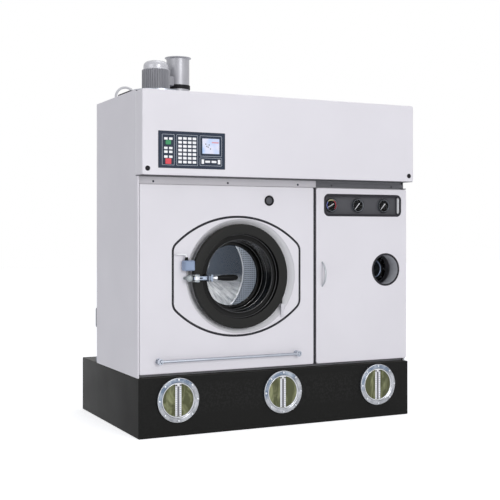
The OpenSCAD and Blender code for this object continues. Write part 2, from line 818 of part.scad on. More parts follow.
// Rubber profile with a groove for the casting's lip and one for the glass
module door_gasket() color(rubber) turned(door_x, door_z, [[glass_r, bowl_y],
    [bowl_back_r - 0.5, bowl_y], [bowl_back_r - 0.5, bowl_y + 4], [bowl_back_r - 8, bowl_y + 4],
    [bowl_back_r - 8, bowl_y + 9], [bowl_back_r + 2, bowl_y + 9],
    [bowl_back_r + 2, bowl_y + glass_t + 9], [glass_r, bowl_y + glass_t + 9],
    [glass_r, bowl_y + 3 + glass_t], [glass_r + 8, bowl_y + 3 + glass_t],
    [glass_r + 8, bowl_y + 3], [glass_r, bowl_y + 3]]);

// A lug on the recess's floor over the upper knuckle, and one under the lower knuckle on a
// strap from the surround's face
module hinge_bracket() color(steel) difference() {
    intersection() {
        union() {
            box([hinge_x - 28, hinge_y, lugs[1]], [hinge_x, dish_y, lugs[1] + lug_h]);
            box([hinge_x - 8, panel_y - 8, lugs[0]], [hinge_x + 8, hinge_y, lugs[0] + lug_h]);
            box([hinge_x - 8, panel_y - 8, door_z - bracket_down],
                [hinge_x + 8, panel_y, lugs[0] + lug_h]);
            for (z = lugs) translate([hinge_x, hinge_y, z]) cylinder(h = lug_h, r = knuckle_r);
        }
        union() {
            dish_space();
            box([hinge_x - 40, panel_y - 20, door_z - bracket_down],
                [hinge_x + 40, panel_y, door_z + bracket_down]);
        }
    }
    for (z = lugs) translate([hinge_x, hinge_y, z - eps])
        cylinder(h = lug_h + 2 * eps, r = pin_r);
}

module hinge_pins() color(steel) {
    translate([hinge_x, hinge_y, lugs[0] + 1])
        cylinder(h = lugs[1] + lug_h - lugs[0] - 1, r = pin_r);
    translate([hinge_x, hinge_y, lugs[1] + lug_h]) cylinder(h = 4, r = pin_r + 2);
    translate([service_pin_x, service_pin_y, base_h])
        cylinder(h = panel_low - base_h + 14, r = pin_r - 1);
    translate([service_pin_x, service_pin_y, panel_high - 14]) cylinder(h = 21, r = pin_r - 1);
}

// Rounded post on the surround that takes the lever's nose
module latch_keeper() color(steel) difference() {
    stem_r = keeper_r - 6;
    union() {
        bar_y(keeper_x, latch_z, latch_y - 8, latch_y + 12, keeper_r);
        bar_y(keeper_x - 4, latch_z, latch_y + 12, panel_y, stem_r);
        bar_y(keeper_x - 21, latch_z, panel_y - 6, panel_y, stem_r);
        box([keeper_x - 21, panel_y - 6, latch_z - stem_r + 4],
            [keeper_x - 4, panel_y, latch_z + stem_r - 4]);
    }
    box([keeper_x + keeper_r - 10, latch_y - 9, latch_z - 9],
        [keeper_x + keeper_r + 1, latch_y + 9, latch_z + 9]);
}

// Lever between the ears of the latch block; its nose points at the keeper
module latch_lever() color(steel) difference() {
    hub_hh = block_hh - 8 - pass_gap;
    union() {
        translate([latch_x, latch_y, latch_z - hub_hh]) cylinder(h = 2 * hub_hh, r = 12);
        box([latch_x - 24, latch_y - 8, latch_z - 8], [latch_x, latch_y + 8, latch_z + 8]);
        for (z = [-6.5, 6.5]) translate([latch_x, latch_y, latch_z + z]) rotate([0, 90, 0])
            cylinder(h = 80, r = 5);
        translate([latch_x + 62, latch_y, latch_z - 19]) cylinder(h = 38, r = 8, $fn = 6);
        box([latch_x + 79, latch_y - 9, latch_z - 19], [latch_x + 92, latch_y + 9, latch_z + 19]);
        translate([latch_x + 92, latch_y, latch_z]) rotate([0, 90, 0])
            cylinder(h = grip_start - 92, r1 = 7, r2 = 15);
        translate([latch_x + 92, latch_y, latch_z]) rotate([0, 90, 0])
            cylinder(h = grip_start - 92 + grip_len - 30, r = 5);
    }
    translate([latch_x, latch_y, latch_z - block_hh])
        cylinder(h = 2 * block_hh, r = pin_r - 1 + run_gap);
}

// Tapered grip on the lever's end
module latch_grip() color(rubber) translate([latch_x + grip_start, latch_y, latch_z])
    rotate([0, 90, 0]) difference() {
        rotate_extrude() polygon([[0, 0], [13, 0], [14, 4], [grip_r - 1, 30], [grip_r, 60],
            [grip_r, grip_len - 30], [grip_r - 3, grip_len - 12], [grip_r - 9, grip_len - 2],
            [0, grip_len]]);
        translate([0, 0, -eps]) cylinder(h = grip_len - 30 + eps, r = 5);
    }

module latch_pin() color([0.2, 0.22, 0.25]) {
    translate([latch_x, latch_y, latch_z - block_hh]) cylinder(h = 2 * block_hh, r = pin_r - 1);
    for (z = [latch_z - block_hh - 4, latch_z + block_hh])
        translate([latch_x, latch_y, z]) cylinder(h = 4, r = 8);
}

gland_x = lock_x + 21;
gland_y = panel_y - 26;
gland_top = lock_z + lock_h + 18;
cable_hole_x = lock_x - 35;
cable_hole_z = lock_z + lock_h + 34;

module lock_box() color([0.56, 0.65, 0.8]) {
    plate_y(panel_y - lock_d - 3, lock_d) round_rect(lock_x, lock_z, lock_w, lock_h, 6);
    bar_y(lock_x + 7, lock_z + lock_h / 2, panel_y - 3, panel_y, 6);
    translate([gland_x, gland_y, lock_z + lock_h]) difference() {
        cylinder(h = 18, r = 9);
        translate([0, 0, 6]) cylinder(h = 13, r = cable_r);
    }
}

// Cable from the gland to the hole in the surround: three straight runs and two quarter bends
module lock_cable() color("white") {
    bend = 12;
    translate([gland_x, gland_y, gland_top - 12])
        cylinder(h = cable_hole_z - bend - gland_top + 12, r = cable_r);
    translate([gland_x - bend, gland_y, cable_hole_z - bend]) rotate([90, 0, 0])
        quarter_bend(bend, cable_r);
    translate([cable_hole_x + bend, gland_y, cable_hole_z]) rotate([0, 90, 0])
        cylinder(h = gland_x - cable_hole_x - 2 * bend, r = cable_r);
    translate([cable_hole_x + bend, gland_y + bend, cable_hole_z]) rotate([0, 0, 180])
        quarter_bend(bend, cable_r);
    bar_y(cable_hole_x, cable_hole_z, gland_y + bend, panel_y + 20, cable_r);
}

// ---------- Tub, drum and drive ----------

module tub() color(steel) difference() {
    union() {
        turned(door_x, door_z, [[mouth_r, dish_y + sheet_t], [mouth_r + tub_t, dish_y + sheet_t],
            [mouth_r + tub_t, tub_y], [tub_r, tub_y], [tub_r, tub_rear_y], [shaft_r + 10, tub_rear_y],
            [shaft_r + 10, tub_rear_y - tub_t], [tub_r - tub_t, tub_rear_y - tub_t],
            [tub_r - tub_t, tub_y + tub_t], [mouth_r, tub_y + tub_t]]);
        for (y = [tub_y + 60, tub_rear_y - 80]) difference() {
            box([door_x - 260, y, base_h], [door_x + 260, y + 12, door_z - 330]);
            bar_y(door_x, door_z, y - eps, y + 12 + eps, tub_r - tub_t / 2);
        }
    }
}

// Front ring, wall and back of the drum, with its lifters
module drum() color(steel) {
    turned(door_x, door_z, [[drum_mouth_r, drum_y], [drum_r, drum_y], [drum_r, drum_rear_y],
        [0, drum_rear_y], [0, drum_rear_y - drum_t], [drum_r - drum_t, drum_rear_y - drum_t],
        [drum_r - drum_t, drum_y + drum_t], [drum_mouth_r + 4, drum_y + drum_t],
        [drum_mouth_r + 4, drum_y + 14], [drum_mouth_r, drum_y + 14]]);
    for (i = [0 : lifters - 1]) translate([door_x, drum_rear_y - drum_t, door_z])
        rotate([90, 30 + i * 360 / lifters, 0]) linear_extrude(drum_rear_y - drum_y - 2 * drum_t)
            polygon([[-50, drum_r - 6], [-14, drum_r - lifter_h], [14, drum_r - lifter_h],
                [50, drum_r - 6]]);
}

module drum_shaft() color([0.6, 0.6, 0.62]) {
    bar_y(door_x, door_z, drum_rear_y, drum_rear_y + hub_t, hub_r);
    bar_y(door_x, door_z, drum_rear_y, shaft_end_y, shaft_r);
}

module bearing_housing() color([0.35, 0.37, 0.4]) difference() {
    union() {
        bar_y(door_x, door_z, tub_rear_y, tub_rear_y + housing_t, hub_r);
        bar_y(door_x, door_z, tub_rear_y, tub_rear_y + housing_l, bearing_r + 10);
        for (i = [0 : 5]) translate([door_x, tub_rear_y + housing_t, door_z]) rotate([0, i * 60, 0])
            box([bearing_r, 0, -5], [hub_r - 10, housing_l - 30, 5]);
    }
    bar_y(door_x, door_z, tub_rear_y - eps, tub_rear_y + housing_l + eps, bearing_r);
    bolt_holes(door_x, door_z, hub_r - 15, tub_rear_y - eps, tub_rear_y + housing_t + eps, 5);
}

module shaft_bearings() color(steel)
    for (y = [tub_rear_y + housing_t, tub_rear_y + housing_l - bearing_w])
        turned(door_x, door_z, [[shaft_r + run_gap, y], [shaft_r + 6, y], [shaft_r + 6, y + 2],
            [bearing_r - 5, y + 2], [bearing_r - 5, y], [bearing_r, y], [bearing_r, y + bearing_w],
            [bearing_r - 5, y + bearing_w], [bearing_r - 5, y + bearing_w - 2],
            [shaft_r + 6, y + bearing_w - 2], [shaft_r + 6, y + bearing_w],
            [shaft_r + run_gap, y + bearing_w]]);

// Grooved pulley with its bore on the axis
module pulley(x, z, r, bore) {
    rim = 5; // width of each flange
    turned(x, z, [[bore, pulley_y], [r + pulley_flange, pulley_y],
        [r + pulley_flange, pulley_y + rim], [r, pulley_y + rim],
        [r, pulley_y + pulley_w - rim], [r + pulley_flange, pulley_y + pulley_w - rim],
        [r + pulley_flange, pulley_y + pulley_w], [bore, pulley_y + pulley_w]]);
}

module drum_pulley() color([0.3, 0.32, 0.35]) difference() {
    pulley(door_x, door_z, pulley_r, shaft_r);
    hole_at = (shaft_r + pulley_r) / 2 + 4;
    for (i = [0 : 5]) bar_y(door_x + hole_at * sin(i * 60), door_z + hole_at * cos(i * 60),
        pulley_y - eps, pulley_y + pulley_w + eps, pulley_r / 5);
}

// The belt's outline at distance t from the pulleys, as one polygon of arcs about their axes
module belt_outline(t) {
    span = norm([motor_dx, motor_dz]);
    tilt = acos((pulley_r - motor_pulley_r) / span);
    big = pulley_r + t;
    small = motor_pulley_r + t;
    translate([door_x, door_z]) rotate(atan2(-motor_dz, motor_dx)) polygon([
        for (i = [0 : 60]) let (a = tilt + i * (360 - 2 * tilt) / 60) big * [cos(a), sin(a)],
        for (i = [0 : 24]) let (a = (2 * i / 24 - 1) * tilt) [span, 0] + small * [cos(a), sin(a)]]);
}

module drive_belt() color(rubber) plate_y(pulley_y + 6, pulley_w - 12) difference() {
    belt_outline(pass_gap + belt_t);
    belt_outline(pass_gap);
}

module drive_motor() color([0.3, 0.36, 0.42]) difference() {
    union() {
        bar_y(motor_x, motor_z, motor_end_y - motor_l, motor_end_y, motor_r);
        for (i = [0 : 9]) bar_y(motor_x, motor_z, motor_end_y - motor_l + 40 + i * 26,
            motor_end_y - motor_l + 46 + i * 26, motor_r + 8);
        for (side = [-1, 1]) box([motor_x + side * 60 - 15, motor_end_y - motor_l + 60, base_h],
            [motor_x + side * 60 + 15, motor_end_y - 60, motor_z - 40]);
        box([motor_x - 40, motor_end_y - 250, motor_z],
            [motor_x + 40, motor_end_y - 150, motor_z + motor_r + 30]);
    }
    bar_y(motor_x, motor_z, motor_end_y - 80, motor_end_y + eps, motor_shaft_r + run_gap);
}

module motor_pulley() color([0.5, 0.52, 0.55]) {
    pulley(motor_x, motor_z, motor_pulley_r, 0);
    bar_y(motor_x, motor_z, motor_end_y - 76, pulley_y + eps, motor_shaft_r);
}

// ---------- Service bay ----------

module window_outline(g) {
    round_rect(window_x - g, window_z - g, window_w + 2 * g, window_h + 2 * g, 33 + g);
}

module service_door() color(white_paint) difference() {
    union() {
        difference() {
            pan(service_x0, half_w);
            box([service_x0 - eps, frame_y - pass_gap, panel_low - eps],
                [half_w + eps, frame_y + eps, panel_high + eps]);
        }
        for (z = [panel_low + pass_gap, panel_high - 14])
            box([service_pin_x - 12, panel_y + sheet_t / 2, z],
                [half_w - sheet_t / 2, service_pin_y + 8, z + 14 - pass_gap]);
        plate_y(panel_y + sheet_t / 2, return_d) difference() {
            window_outline(sheet_t);
            window_outline(0);
        }
        turned(porthole_x, porthole_z, [[porthole_r - 4, panel_y + sheet_t / 2],
            [porthole_r + 8, panel_y + sheet_t / 2], [porthole_r + 8, panel_y + sheet_t + 1],
            [porthole_r - 2, panel_y + sheet_t + 1], [porthole_r - 2, panel_y + collar_d],
            [porthole_r - 4, panel_y + collar_d]]);
    }
    box([service_pin_x - 4, service_pin_y + 8, panel_low - eps],
        [half_w + eps, frame_y + eps, panel_high + eps]);
    plate_y(panel_y - eps, sheet_t + 2 * eps) window_outline(0);
    bar_y(porthole_x, porthole_z, panel_y - eps, panel_y + sheet_t + 2, porthole_r - 4);
    for (z = [panel_low - eps, panel_high - 16]) translate([service_pin_x, service_pin_y, z])
        cylinder(h = 20, r = pin_r - 1 + run_gap);
}

module service_door_trims() color(rubber) {
    plate_y(panel_y - 3, 3) difference() {
        window_outline(trim_w - 2);
        window_outline(-2);
    }
    plate_y(panel_y - 3, 3) translate([porthole_x, porthole_z]) difference() {
        circle(porthole_r + 3);
        circle(porthole_r - 4);
    }
}

handle_x = service_x0 + 41;
handle_z = door_z - 69;

// Bow handle: an arc from foot to foot, cut flush with the door, on two round feet
module pull_handle() color(steel) {
    bow_r = (pow(handle_l / 2, 2) + pow(handle_off, 2)) / (2 * handle_off);
    mid_z = handle_z + handle_l / 2;
    difference() {
        translate([handle_x, panel_y - handle_off + bow_r, mid_z]) rotate([0, 90, 0])
            rotate_extrude() translate([bow_r, 0]) circle(handle_r, $fn = 32);
        box([handle_x - 2 * handle_r, panel_y, mid_z - 2 * bow_r],
            [handle_x + 2 * handle_r, panel_y + 2 * bow_r, mid_z + 2 * bow_r]);
    }
    for (z = [handle_z, handle_z + handle_l])
        bar_y(handle_x, z, panel_y - 4, panel_y, handle_r + 5);
}

module gauge_plate() color([0.35, 0.35, 0.38]) difference() {
    box([service_x0 + 4, gauge_plate_y, window_z - 14],
        [half_w - 22, frame_y, window_z + window_h + 14]);
    for (x = gauge_x) bar_y(x, gauge_z, gauge_plate_y - eps, frame_y + eps, gauge_r - 6);
}

// Open case of a dial: bezel in front of the plate, dial inside and body behind
module gauge_cases() color([0.15, 0.15, 0.15]) for (x = gauge_x) difference() {
    turned(x, gauge_z, [[0, bezel_y + 9], [gauge_r - 5, bezel_y + 9], [gauge_r - 5, bezel_y + 4],
        [gauge_r - 5, bezel_y + 2], [gauge_r - 5, bezel_y], [gauge_r - 1, bezel_y],
        [gauge_r, bezel_y + 2], [gauge_r, gauge_plate_y], [gauge_r - 6, gauge_plate_y],
        [gauge_r - 6, gauge_plate_y + 45], [0, gauge_plate_y + 45]]);
    bar_y(x, gauge_z, bezel_y + 8, bezel_y + 20, 2 + run_gap);
}

// Needle i, turned clockwise from straight up as seen from the front
module needle(i) color("white") {
    x = gauge_x[i];
    translate([x, bezel_y + 6.5, gauge_z]) rotate([0, needle_rest[i], 0]) plate_y(-0.5, 1)
        polygon([[-3, -18], [3, -18], [1.5, gauge_r - 12], [-1.5, gauge_r - 12]]);
    bar_y(x, gauge_z, bezel_y + 5, bezel_y + 18, 2);
}

module left_needle() needle(0);

module middle_needle() needle(1);

module right_needle() needle(2);

module still_vessel() color([0.55, 0.56, 0.58]) difference() {
    union() {
        translate([still_x, still_y, still_z]) rotate_extrude() polygon([[0, 0], [60, 0],
            [still_r, 70], [still_r, still_h - 60], [90, still_h], [0, still_h]]);
        for (i = [0 : 2]) translate([still_x, still_y, 0]) rotate([0, 0, 30 + i * 120])
            box([still_r - 40, -15, base_h], [still_r - 10, 15, still_z + 120]);
        bar_y(porthole_x, porthole_z, cover_y + cover_t, still_y, cover_r - 18);
        bar_y(porthole_x, porthole_z, cover_y + cover_t, cover_y + cover_t + 10, cover_r);
    }
    translate([still_x, still_y, still_z]) rotate_extrude() polygon([[0, 5], [58, 5],
        [still_r - 5, 73], [still_r - 5, still_h - 63], [88, still_h - 5], [0, still_h - 5]]);
    bar_y(porthole_x, porthole_z, cover_y, still_y - 60, cover_view_r);
    bolt_holes(porthole_x, porthole_z, cover_r - 11, cover_y, cover_y + cover_t + 11, bolt_r);
}

module still_cover() color([0.13, 0.13, 0.14]) difference() {
    turned(porthole_x, porthole_z, [[cover_view_r, cover_y + 3], [cover_view_r + 3, cover_y],
        [cover_r, cover_y], [cover_r, cover_y + cover_t], [cover_view_r + 5, cover_y + cover_t],
        [cover_view_r + 5, cover_y + cover_t - 6], [cover_view_r, cover_y + cover_t - 6]]);
    bolt_holes(porthole_x, porthole_z, cover_r - 11, cover_y - eps, cover_y + cover_t + eps, bolt_r);
}

// ---------- Roof ----------

// Plan of the fan scroll and its outlet, drawn in by g
module scroll_plan(g) {
    translate([fan_x, fan_y]) circle(fan_r - g);
    translate([fan_x, duct_y - duct_r - 6 + g])
        square([duct_dx + duct_r + 12 - g, 2 * (duct_r + 6) - 2 * g]);
}

module fan_housing() color(steel) difference() {
    translate([0, 0, roof_z]) linear_extrude(fan_h) scroll_plan(0);
    translate([0, 0, roof_z + 3]) linear_extrude(fan_h - 6) scroll_plan(3);
    translate([fan_x, fan_y, roof_z - eps]) cylinder(h = 6, r = 80);
    translate([fan_x, fan_y, fan_top - 5]) cylinder(h = 10, r = 22);
    translate([duct_x, duct_y, fan_top - 5]) cylinder(h = 10, r = duct_r - duct_t);
}

module fan_impeller() color([0.6, 0.62, 0.65]) {
    low = roof_z + 14;
    high = fan_top - 25;
    translate([fan_x, fan_y, high]) cylinder(h = 4, r = impeller_r);
    translate([fan_x, fan_y, low]) difference() {
        cylinder(h = 3, r = impeller_r);
        translate([0, 0, -eps]) cylinder(h = 5, r = impeller_r - 34);
    }
    for (i = [0 : blades - 1]) translate([fan_x, fan_y, low]) rotate([0, 0, i * 360 / blades])
        translate([impeller_r - 32, 0, 0]) rotate([0, 0, 25])
            box([0, -1.5, 1], [28, 1.5, high - low + 1]);
    translate([fan_x, fan_y, high - 20]) cylinder(h = 24, r = 26);
    translate([fan_x, fan_y, high]) cylinder(h = fan_top + 60 - high, r = 12);
}

module fan_motor() color([0.7, 0.71, 0.73]) translate([fan_x, fan_y, fan_motor_z]) difference() {
    body_h = fan_motor_h - 57;
    union() {
        cylinder(h = 8, r = fan_motor_r);
        cylinder(h = body_h, r = fan_motor_r - 12);
        for (i = [0 : fins - 1]) rotate([0, 0, i * 360 / fins])
            box([fan_motor_r - 14, -1.5, 6], [fan_motor_r - 1, 1.5, body_h - 2]);
        translate([0, 0, body_h]) rotate_extrude() polygon([[0, 0], [fan_cap_r, 0],
            [fan_cap_r, 26], [fan_cap_r - 5, 40], [fan_cap_r - 18, 51],
            [fan_cap_r - 40, 57], [0, 57]]);
        box([fan_motor_r - 20, -28, body_h - 88], [fan_motor_r + 22, 28, body_h - 33]);
    }
    translate([0, 0, -eps]) cylinder(h = 64 + eps, r = 12 + run_gap);
}

module exhaust_duct() color(steel) translate([duct_x, duct_y, fan_top]) rotate_extrude()
    polygon([[duct_r - duct_t, 0], [duct_r + 5, 0], [duct_r + 5, 6], [duct_r, 6],
        [duct_r, clamp_h], [duct_r + 4, clamp_h], [duct_r + 4, clamp_h + 20],
        [duct_r, clamp_h + 20], [duct_r, duct_h - 10],
        [duct_flange_r, duct_h - 4], [duct_flange_r, duct_h], [duct_flange_r - 4, duct_h],
        [duct_r - duct_t, duct_h - 7]]);

hose_y = -50;

// Hose that rises from the roof and goes back into it
module roof_hose() color([0.8, 0.8, 0.82]) {
    leg = 8;
    for (side = [-1, 1]) translate([hose_x + side * hose_bend, hose_y, roof_z - 30])
        cylinder(h = 30 + leg, r = hose_r);
    translate([hose_x, hose_y, roof_z + leg]) rotate([90, 0, 0]) rotate_extrude(angle = 180)
        translate([hose_bend, 0]) circle(hose_r, $fn = 32);
}

// ---------- Rear pump ----------

module pump() color([0.75, 0.75, 0.76]) {
    pipe_z = base_h + pump_pipe_r + 26;
    foot_r = pump_r - 2;
    translate([pump_x, pump_y, base_h]) rotate_extrude() polygon([[0, 0], [foot_r, 0],
        [foot_r, 22], [foot_r - 22, 70], [16, 74], [16, pump_h - 12], [foot_r - 10, pump_h - 8],
        [foot_r - 10, pump_h], [0, pump_h]]);
    translate([pump_x, pump_y, pipe_z]) rotate([0, 90, 0])
        cylinder(h = pump_pipe_l, r = pump_pipe_r);
    translate([pump_x + pump_pipe_l - 10, pump_y, pipe_z]) rotate([0, 90, 0])
        cylinder(h = 10, r = pump_pipe_r + 16);
}

module pump_motor() color([0.6, 0.61, 0.63]) translate([pump_x, pump_y, base_h + pump_h])
    rotate_extrude() polygon([[0, 0], [pump_r - 6, 0], [pump_r, 6], [pump_r, pump_motor_h - 22],
        [pump_r - 8, pump_motor_h - 8], [pump_r - 26, pump_motor_h], [0, pump_motor_h]]);

base_tank();
sight_flanges();
sight_glasses();
level_strips();
flange_bolts();
cabinet_frame();
left_side_panel();
right_side_panel();
rear_panel();
roof_panel();
front_panel();
door_surround();
surround_seal();
lintel_strips();
panel_screws();
grab_rail();
round_caps();
header_shell();
control_panel();
keypad();
display();
start_button();
stop_button();
door_ring();
door_glass();
door_gasket();
hinge_bracket();
hinge_pins();
latch_keeper();
latch_lever();
latch_grip();
latch_pin();
lock_box();
lock_cable();
tub();
drum();
drum_shaft();
bearing_housing();
shaft_bearings();
drum_pulley();
drive_belt();
drive_motor();
motor_pulley();
service_door();
service_door_trims();
pull_handle();
gauge_plate();
gauge_cases();
left_needle();
middle_needle();
right_needle();
still_vessel();
still_cover();
fan_housing();
fan_impeller();
fan_motor();
exhaust_duct();
roof_hose();
pump();
pump_motor();
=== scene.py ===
"""Looks of a front-loading dry cleaning machine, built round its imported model.

Metres, +Z up, the front faces -Y. Every finished piece sits at the origin with its place in its
mesh. Outlines lie in X and Z, and a positive offset grows an outline.
"""

import json
import math

import bmesh
import bpy
import numpy as np
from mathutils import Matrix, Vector
from mathutils.geometry import tessellate_polygon

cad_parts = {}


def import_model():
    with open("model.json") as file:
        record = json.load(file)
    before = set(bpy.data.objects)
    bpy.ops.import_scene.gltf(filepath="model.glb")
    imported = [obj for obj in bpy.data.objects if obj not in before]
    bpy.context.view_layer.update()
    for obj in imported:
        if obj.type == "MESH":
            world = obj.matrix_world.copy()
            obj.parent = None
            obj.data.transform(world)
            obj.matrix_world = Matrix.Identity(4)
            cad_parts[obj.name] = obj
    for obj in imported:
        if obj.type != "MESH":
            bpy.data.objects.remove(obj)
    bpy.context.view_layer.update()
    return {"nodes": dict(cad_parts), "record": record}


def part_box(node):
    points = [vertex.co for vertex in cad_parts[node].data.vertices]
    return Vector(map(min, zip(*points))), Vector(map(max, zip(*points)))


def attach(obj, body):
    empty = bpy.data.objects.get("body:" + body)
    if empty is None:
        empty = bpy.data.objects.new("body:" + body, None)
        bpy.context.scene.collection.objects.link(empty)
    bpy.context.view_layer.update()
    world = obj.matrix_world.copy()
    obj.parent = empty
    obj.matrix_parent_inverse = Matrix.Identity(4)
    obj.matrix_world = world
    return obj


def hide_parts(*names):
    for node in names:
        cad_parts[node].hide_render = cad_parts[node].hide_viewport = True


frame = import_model()


# ---------- Places taken from the frame ----------

def corners(node):
    """Lowest and highest corner of a node as arrays."""
    low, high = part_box(node)
    return np.array(low), np.array(high)


panel_low, panel_high = corners("front_panel")
glass_low, glass_high = corners("door_glass")
header_low, header_high = corners("header_shell")
tank_low, tank_high = corners("base_tank")
service_low, service_high = corners("service_door")
sheet = 0.002
panel_y = panel_low[1]
frame_y = panel_high[1]
door_x, _, door_z = (glass_low + glass_high) / 2
ring_y = panel_y - 0.021
ring_r = 0.2975
hinge_x = door_x + ring_r - 0.0285
hinge_y = panel_y + 0.012

# Middles of the panel's plug, the tank's sights, the gauges and the porthole.
plug_x, plug_z = -0.078, 1.308
sight_gap, sight_z = 0.652, 0.200
sight_x = (-sight_gap, 0, sight_gap)
gauge_x, gauge_z = (0.354, 0.540, 0.726), 1.288
porthole_x, porthole_z, porthole_r = 0.726, 0.897, 0.097
still_y = corners("still_cover")[0][1]


# ---------- Mesh tools ----------

def grid_quads(rows, cols, wrap_rows=False, wrap_cols=True):
    """Quads of a grid of points numbered row by row; a wrapped side joins its last line to its
    first."""
    i = np.arange(rows if wrap_rows else rows - 1)[:, None]
    j = np.arange(cols if wrap_cols else cols - 1)[None, :]
    here, right = i * cols, (j + 1) % cols
    below = (i + 1) % rows * cols
    return np.stack([here + j, here + right, below + right, below + j], -1).reshape(-1, 4)


def sheet_of(points, wrap_rows=False, wrap_cols=True):
    """One part from a grid of points, rows by columns by 3."""
    rows, cols = points.shape[:2]
    return points.reshape(-1, 3), grid_quads(rows, cols, wrap_rows, wrap_cols)


def softened(points, radius, arc=4, closed=True):
    """Rounds the corners of a polyline: each corner becomes a parabola that touches both of its
    sides, (1-t)^2 a + 2t(1-t) corner + t^2 b, from a on one side to b on the other. Where a side
    is short, both ends stay within half of it. An open polyline keeps its two ends."""
    p = np.asarray(points, float)
    before, after = np.roll(p, 1, 0) - p, np.roll(p, -1, 0) - p
    long_b = np.linalg.norm(before, axis=1)
    long_a = np.linalg.norm(after, axis=1)
    u, v = before / long_b[:, None], after / long_a[:, None]
    half = np.arccos(np.clip((u * v).sum(1), -1, 1)) / 2
    reach = np.asarray(radius, float) / np.maximum(np.tan(half), 1e-6)
    reach = np.minimum(reach, 0.48 * np.minimum(long_a, long_b))[:, None, None]
    t = np.linspace(0, 1, arc + 1)[None, :, None]
    a, b = p[:, None] + reach * u[:, None], p[:, None] + reach * v[:, None]
    curve = (1 - t) ** 2 * a + 2 * t * (1 - t) * p[:, None] + t ** 2 * b
    if closed:
        return curve.reshape(-1, p.shape[1])
    return np.concatenate([p[:1], curve[1:-1].reshape(-1, p.shape[1]), p[-1:]])


def turned(profile, centre, axis="y", steps=96, closed=True):
    """A profile of [radius, along] points carried round an axis: at the angle a a point stands at
    radius * (cos a, sin a) off the axis. A closed profile makes a ring; an open one, whose ends
    lie on the axis, makes a full body."""
    profile = np.asarray(profile, float)
    a = np.linspace(0, 2 * np.pi, steps, endpoint=False)
    c, s = profile[:, :1] * np.cos(a), profile[:, :1] * np.sin(a)
    h = np.broadcast_to(profile[:, 1:2], c.shape)
    order = {"x": (h, c, s), "y": (c, h, s), "z": (c, s, h)}[axis]
    return sheet_of(np.stack(order, -1) + np.asarray(centre, float), wrap_rows=closed)


def lathe(profile, radius, centre, axis="y", steps=96, closed=True, arc=4):
    """A turned part whose profile has its corners softened."""
    return turned(softened(profile, radius, arc, closed), centre, axis, steps, closed)


def tube(path, radius, across, sides=20):
    """A round bar along a path: each ring stands on the unit vectors `across` and
    direction x across, and both ends are closed to a point."""
    path = np.asarray(path, float)
    direction = np.gradient(path, axis=0)
    direction /= np.linalg.norm(direction, axis=1)[:, None]
    up = np.broadcast_to(np.asarray(across, float), path.shape)
    side = np.cross(direction, up)
    side /= np.linalg.norm(side, axis=1)[:, None]
    r = np.broadcast_to(np.asarray(radius, float), len(path)).copy()
    path, side, up = (np.concatenate([x[:1], x, x[-1:]]) for x in (path, side, up))
    r = np.concatenate([[0], r, [0]])[:, None, None]
    a = np.linspace(0, 2 * np.pi, sides, endpoint=False)[None, :, None]
    rings = path[:, None] + r * (np.cos(a) * side[:, None] + np.sin(a) * up[:, None])
    return sheet_of(rings)


def hex_head(x, y, z, across, height, steps=24):
    """A hexagon head that stands on the plane y and faces -Y: its radius at the angle a is that
    of a hexagon, r cos 30 / cos(a mod 60 - 30), and a chamfer leads to its round face."""
    a = np.linspace(0, 2 * np.pi, steps, endpoint=False)
    r = across / 2 / np.cos(np.mod(a, np.pi / 3) - np.pi / 6)
    flat = np.full(steps, across / 2)
    radii = np.stack([r * 0, r, r, np.minimum(r, flat * 1.06), flat * 0.9, flat * 0])
    depth = np.array([0, 0, 0.78, 0.93, 1, 1])[:, None] * height
    points = np.stack([x + radii * np.cos(a), y - depth + radii * 0, z + radii * np.sin(a)], -1)
    return sheet_of(points)


def bolt_circle(places, radius, across, height=0.005):
    """Eight hexagon heads about each place, at radius * (sin a, cos a) off it."""
    return [hex_head(x + radius * math.sin(k * math.pi / 4), y,
                     z + radius * math.cos(k * math.pi / 4), across, height)
            for x, y, z in places for k in range(8)]


def block(low, high, r=0.001):
    """A box with rounded edges: its outline in X and Z has round corners, and its two faces
    run into the sides over a quarter round."""
    (x0, y0, z0), (x1, y1, z1) = low, high
    r = min(r, 0.49 * min(x1 - x0, y1 - y0, z1 - z0))
    outline = round_rect(x0, x1, z0, z1, r)
    return solid(edge_stack(outline, y0, y1, r))


def round_rect(x0, x1, z0, z1, r, per_corner=7):
    """The outline of a rectangle with round corners, as a function of its growth g."""
    turn = np.radians(np.arange(4)[:, None] * 90 + np.linspace(0, 90, per_corner)[None, :])
    mid_x = np.array([x1 - r, x0 + r, x0 + r, x1 - r])[:, None]
    mid_z = np.array([z1 - r, z1 - r, z0 + r, z0 + r])[:, None]

    def outline(g=0.0):
        grown = max(r + g, 0.0002)
        return np.stack([mid_x + grown * np.cos(turn),
                         mid_z + grown * np.sin(turn)], -1).reshape(-1, 2)
    return outline


def circle(x, z, r, steps=96):
    """A circle's outline as a function of its growth g."""
    a = np.linspace(0, 2 * np.pi, steps, endpoint=False)

    def outline(g=0.0):
        return np.stack([x + (r + g) * np.cos(a), z + (r + g) * np.sin(a)], -1)
    return outline


def lift(flat, y):
    """Points of an outline at the depth y, which is one number or one for each point."""
    depth = np.broadcast_to(np.asarray(y, float), len(flat))
    return np.stack([flat[:, 0], depth, flat[:, 1]], -1)


def quarter(steps=5):
    """Sine and 1 - cosine over a quarter turn, for a round edge."""
    a = np.linspace(0, np.pi / 2, steps)
    return np.stack([np.sin(a), 1 - np.cos(a)], -1)


def edge_stack(outline, y0, y1, r):
    """Loops of a solid's side: from its front face over a round edge of radius r to its back
    face."""
    bend = quarter()
    front = [(-r - r / 4, y0)] + [(-r + r * s, y0 + r * c) for s, c in bend]
    back = [(g, y0 + y1 - y) for g, y in front[::-1]]
    return np.stack([lift(outline(g), y) for g, y in front + back])


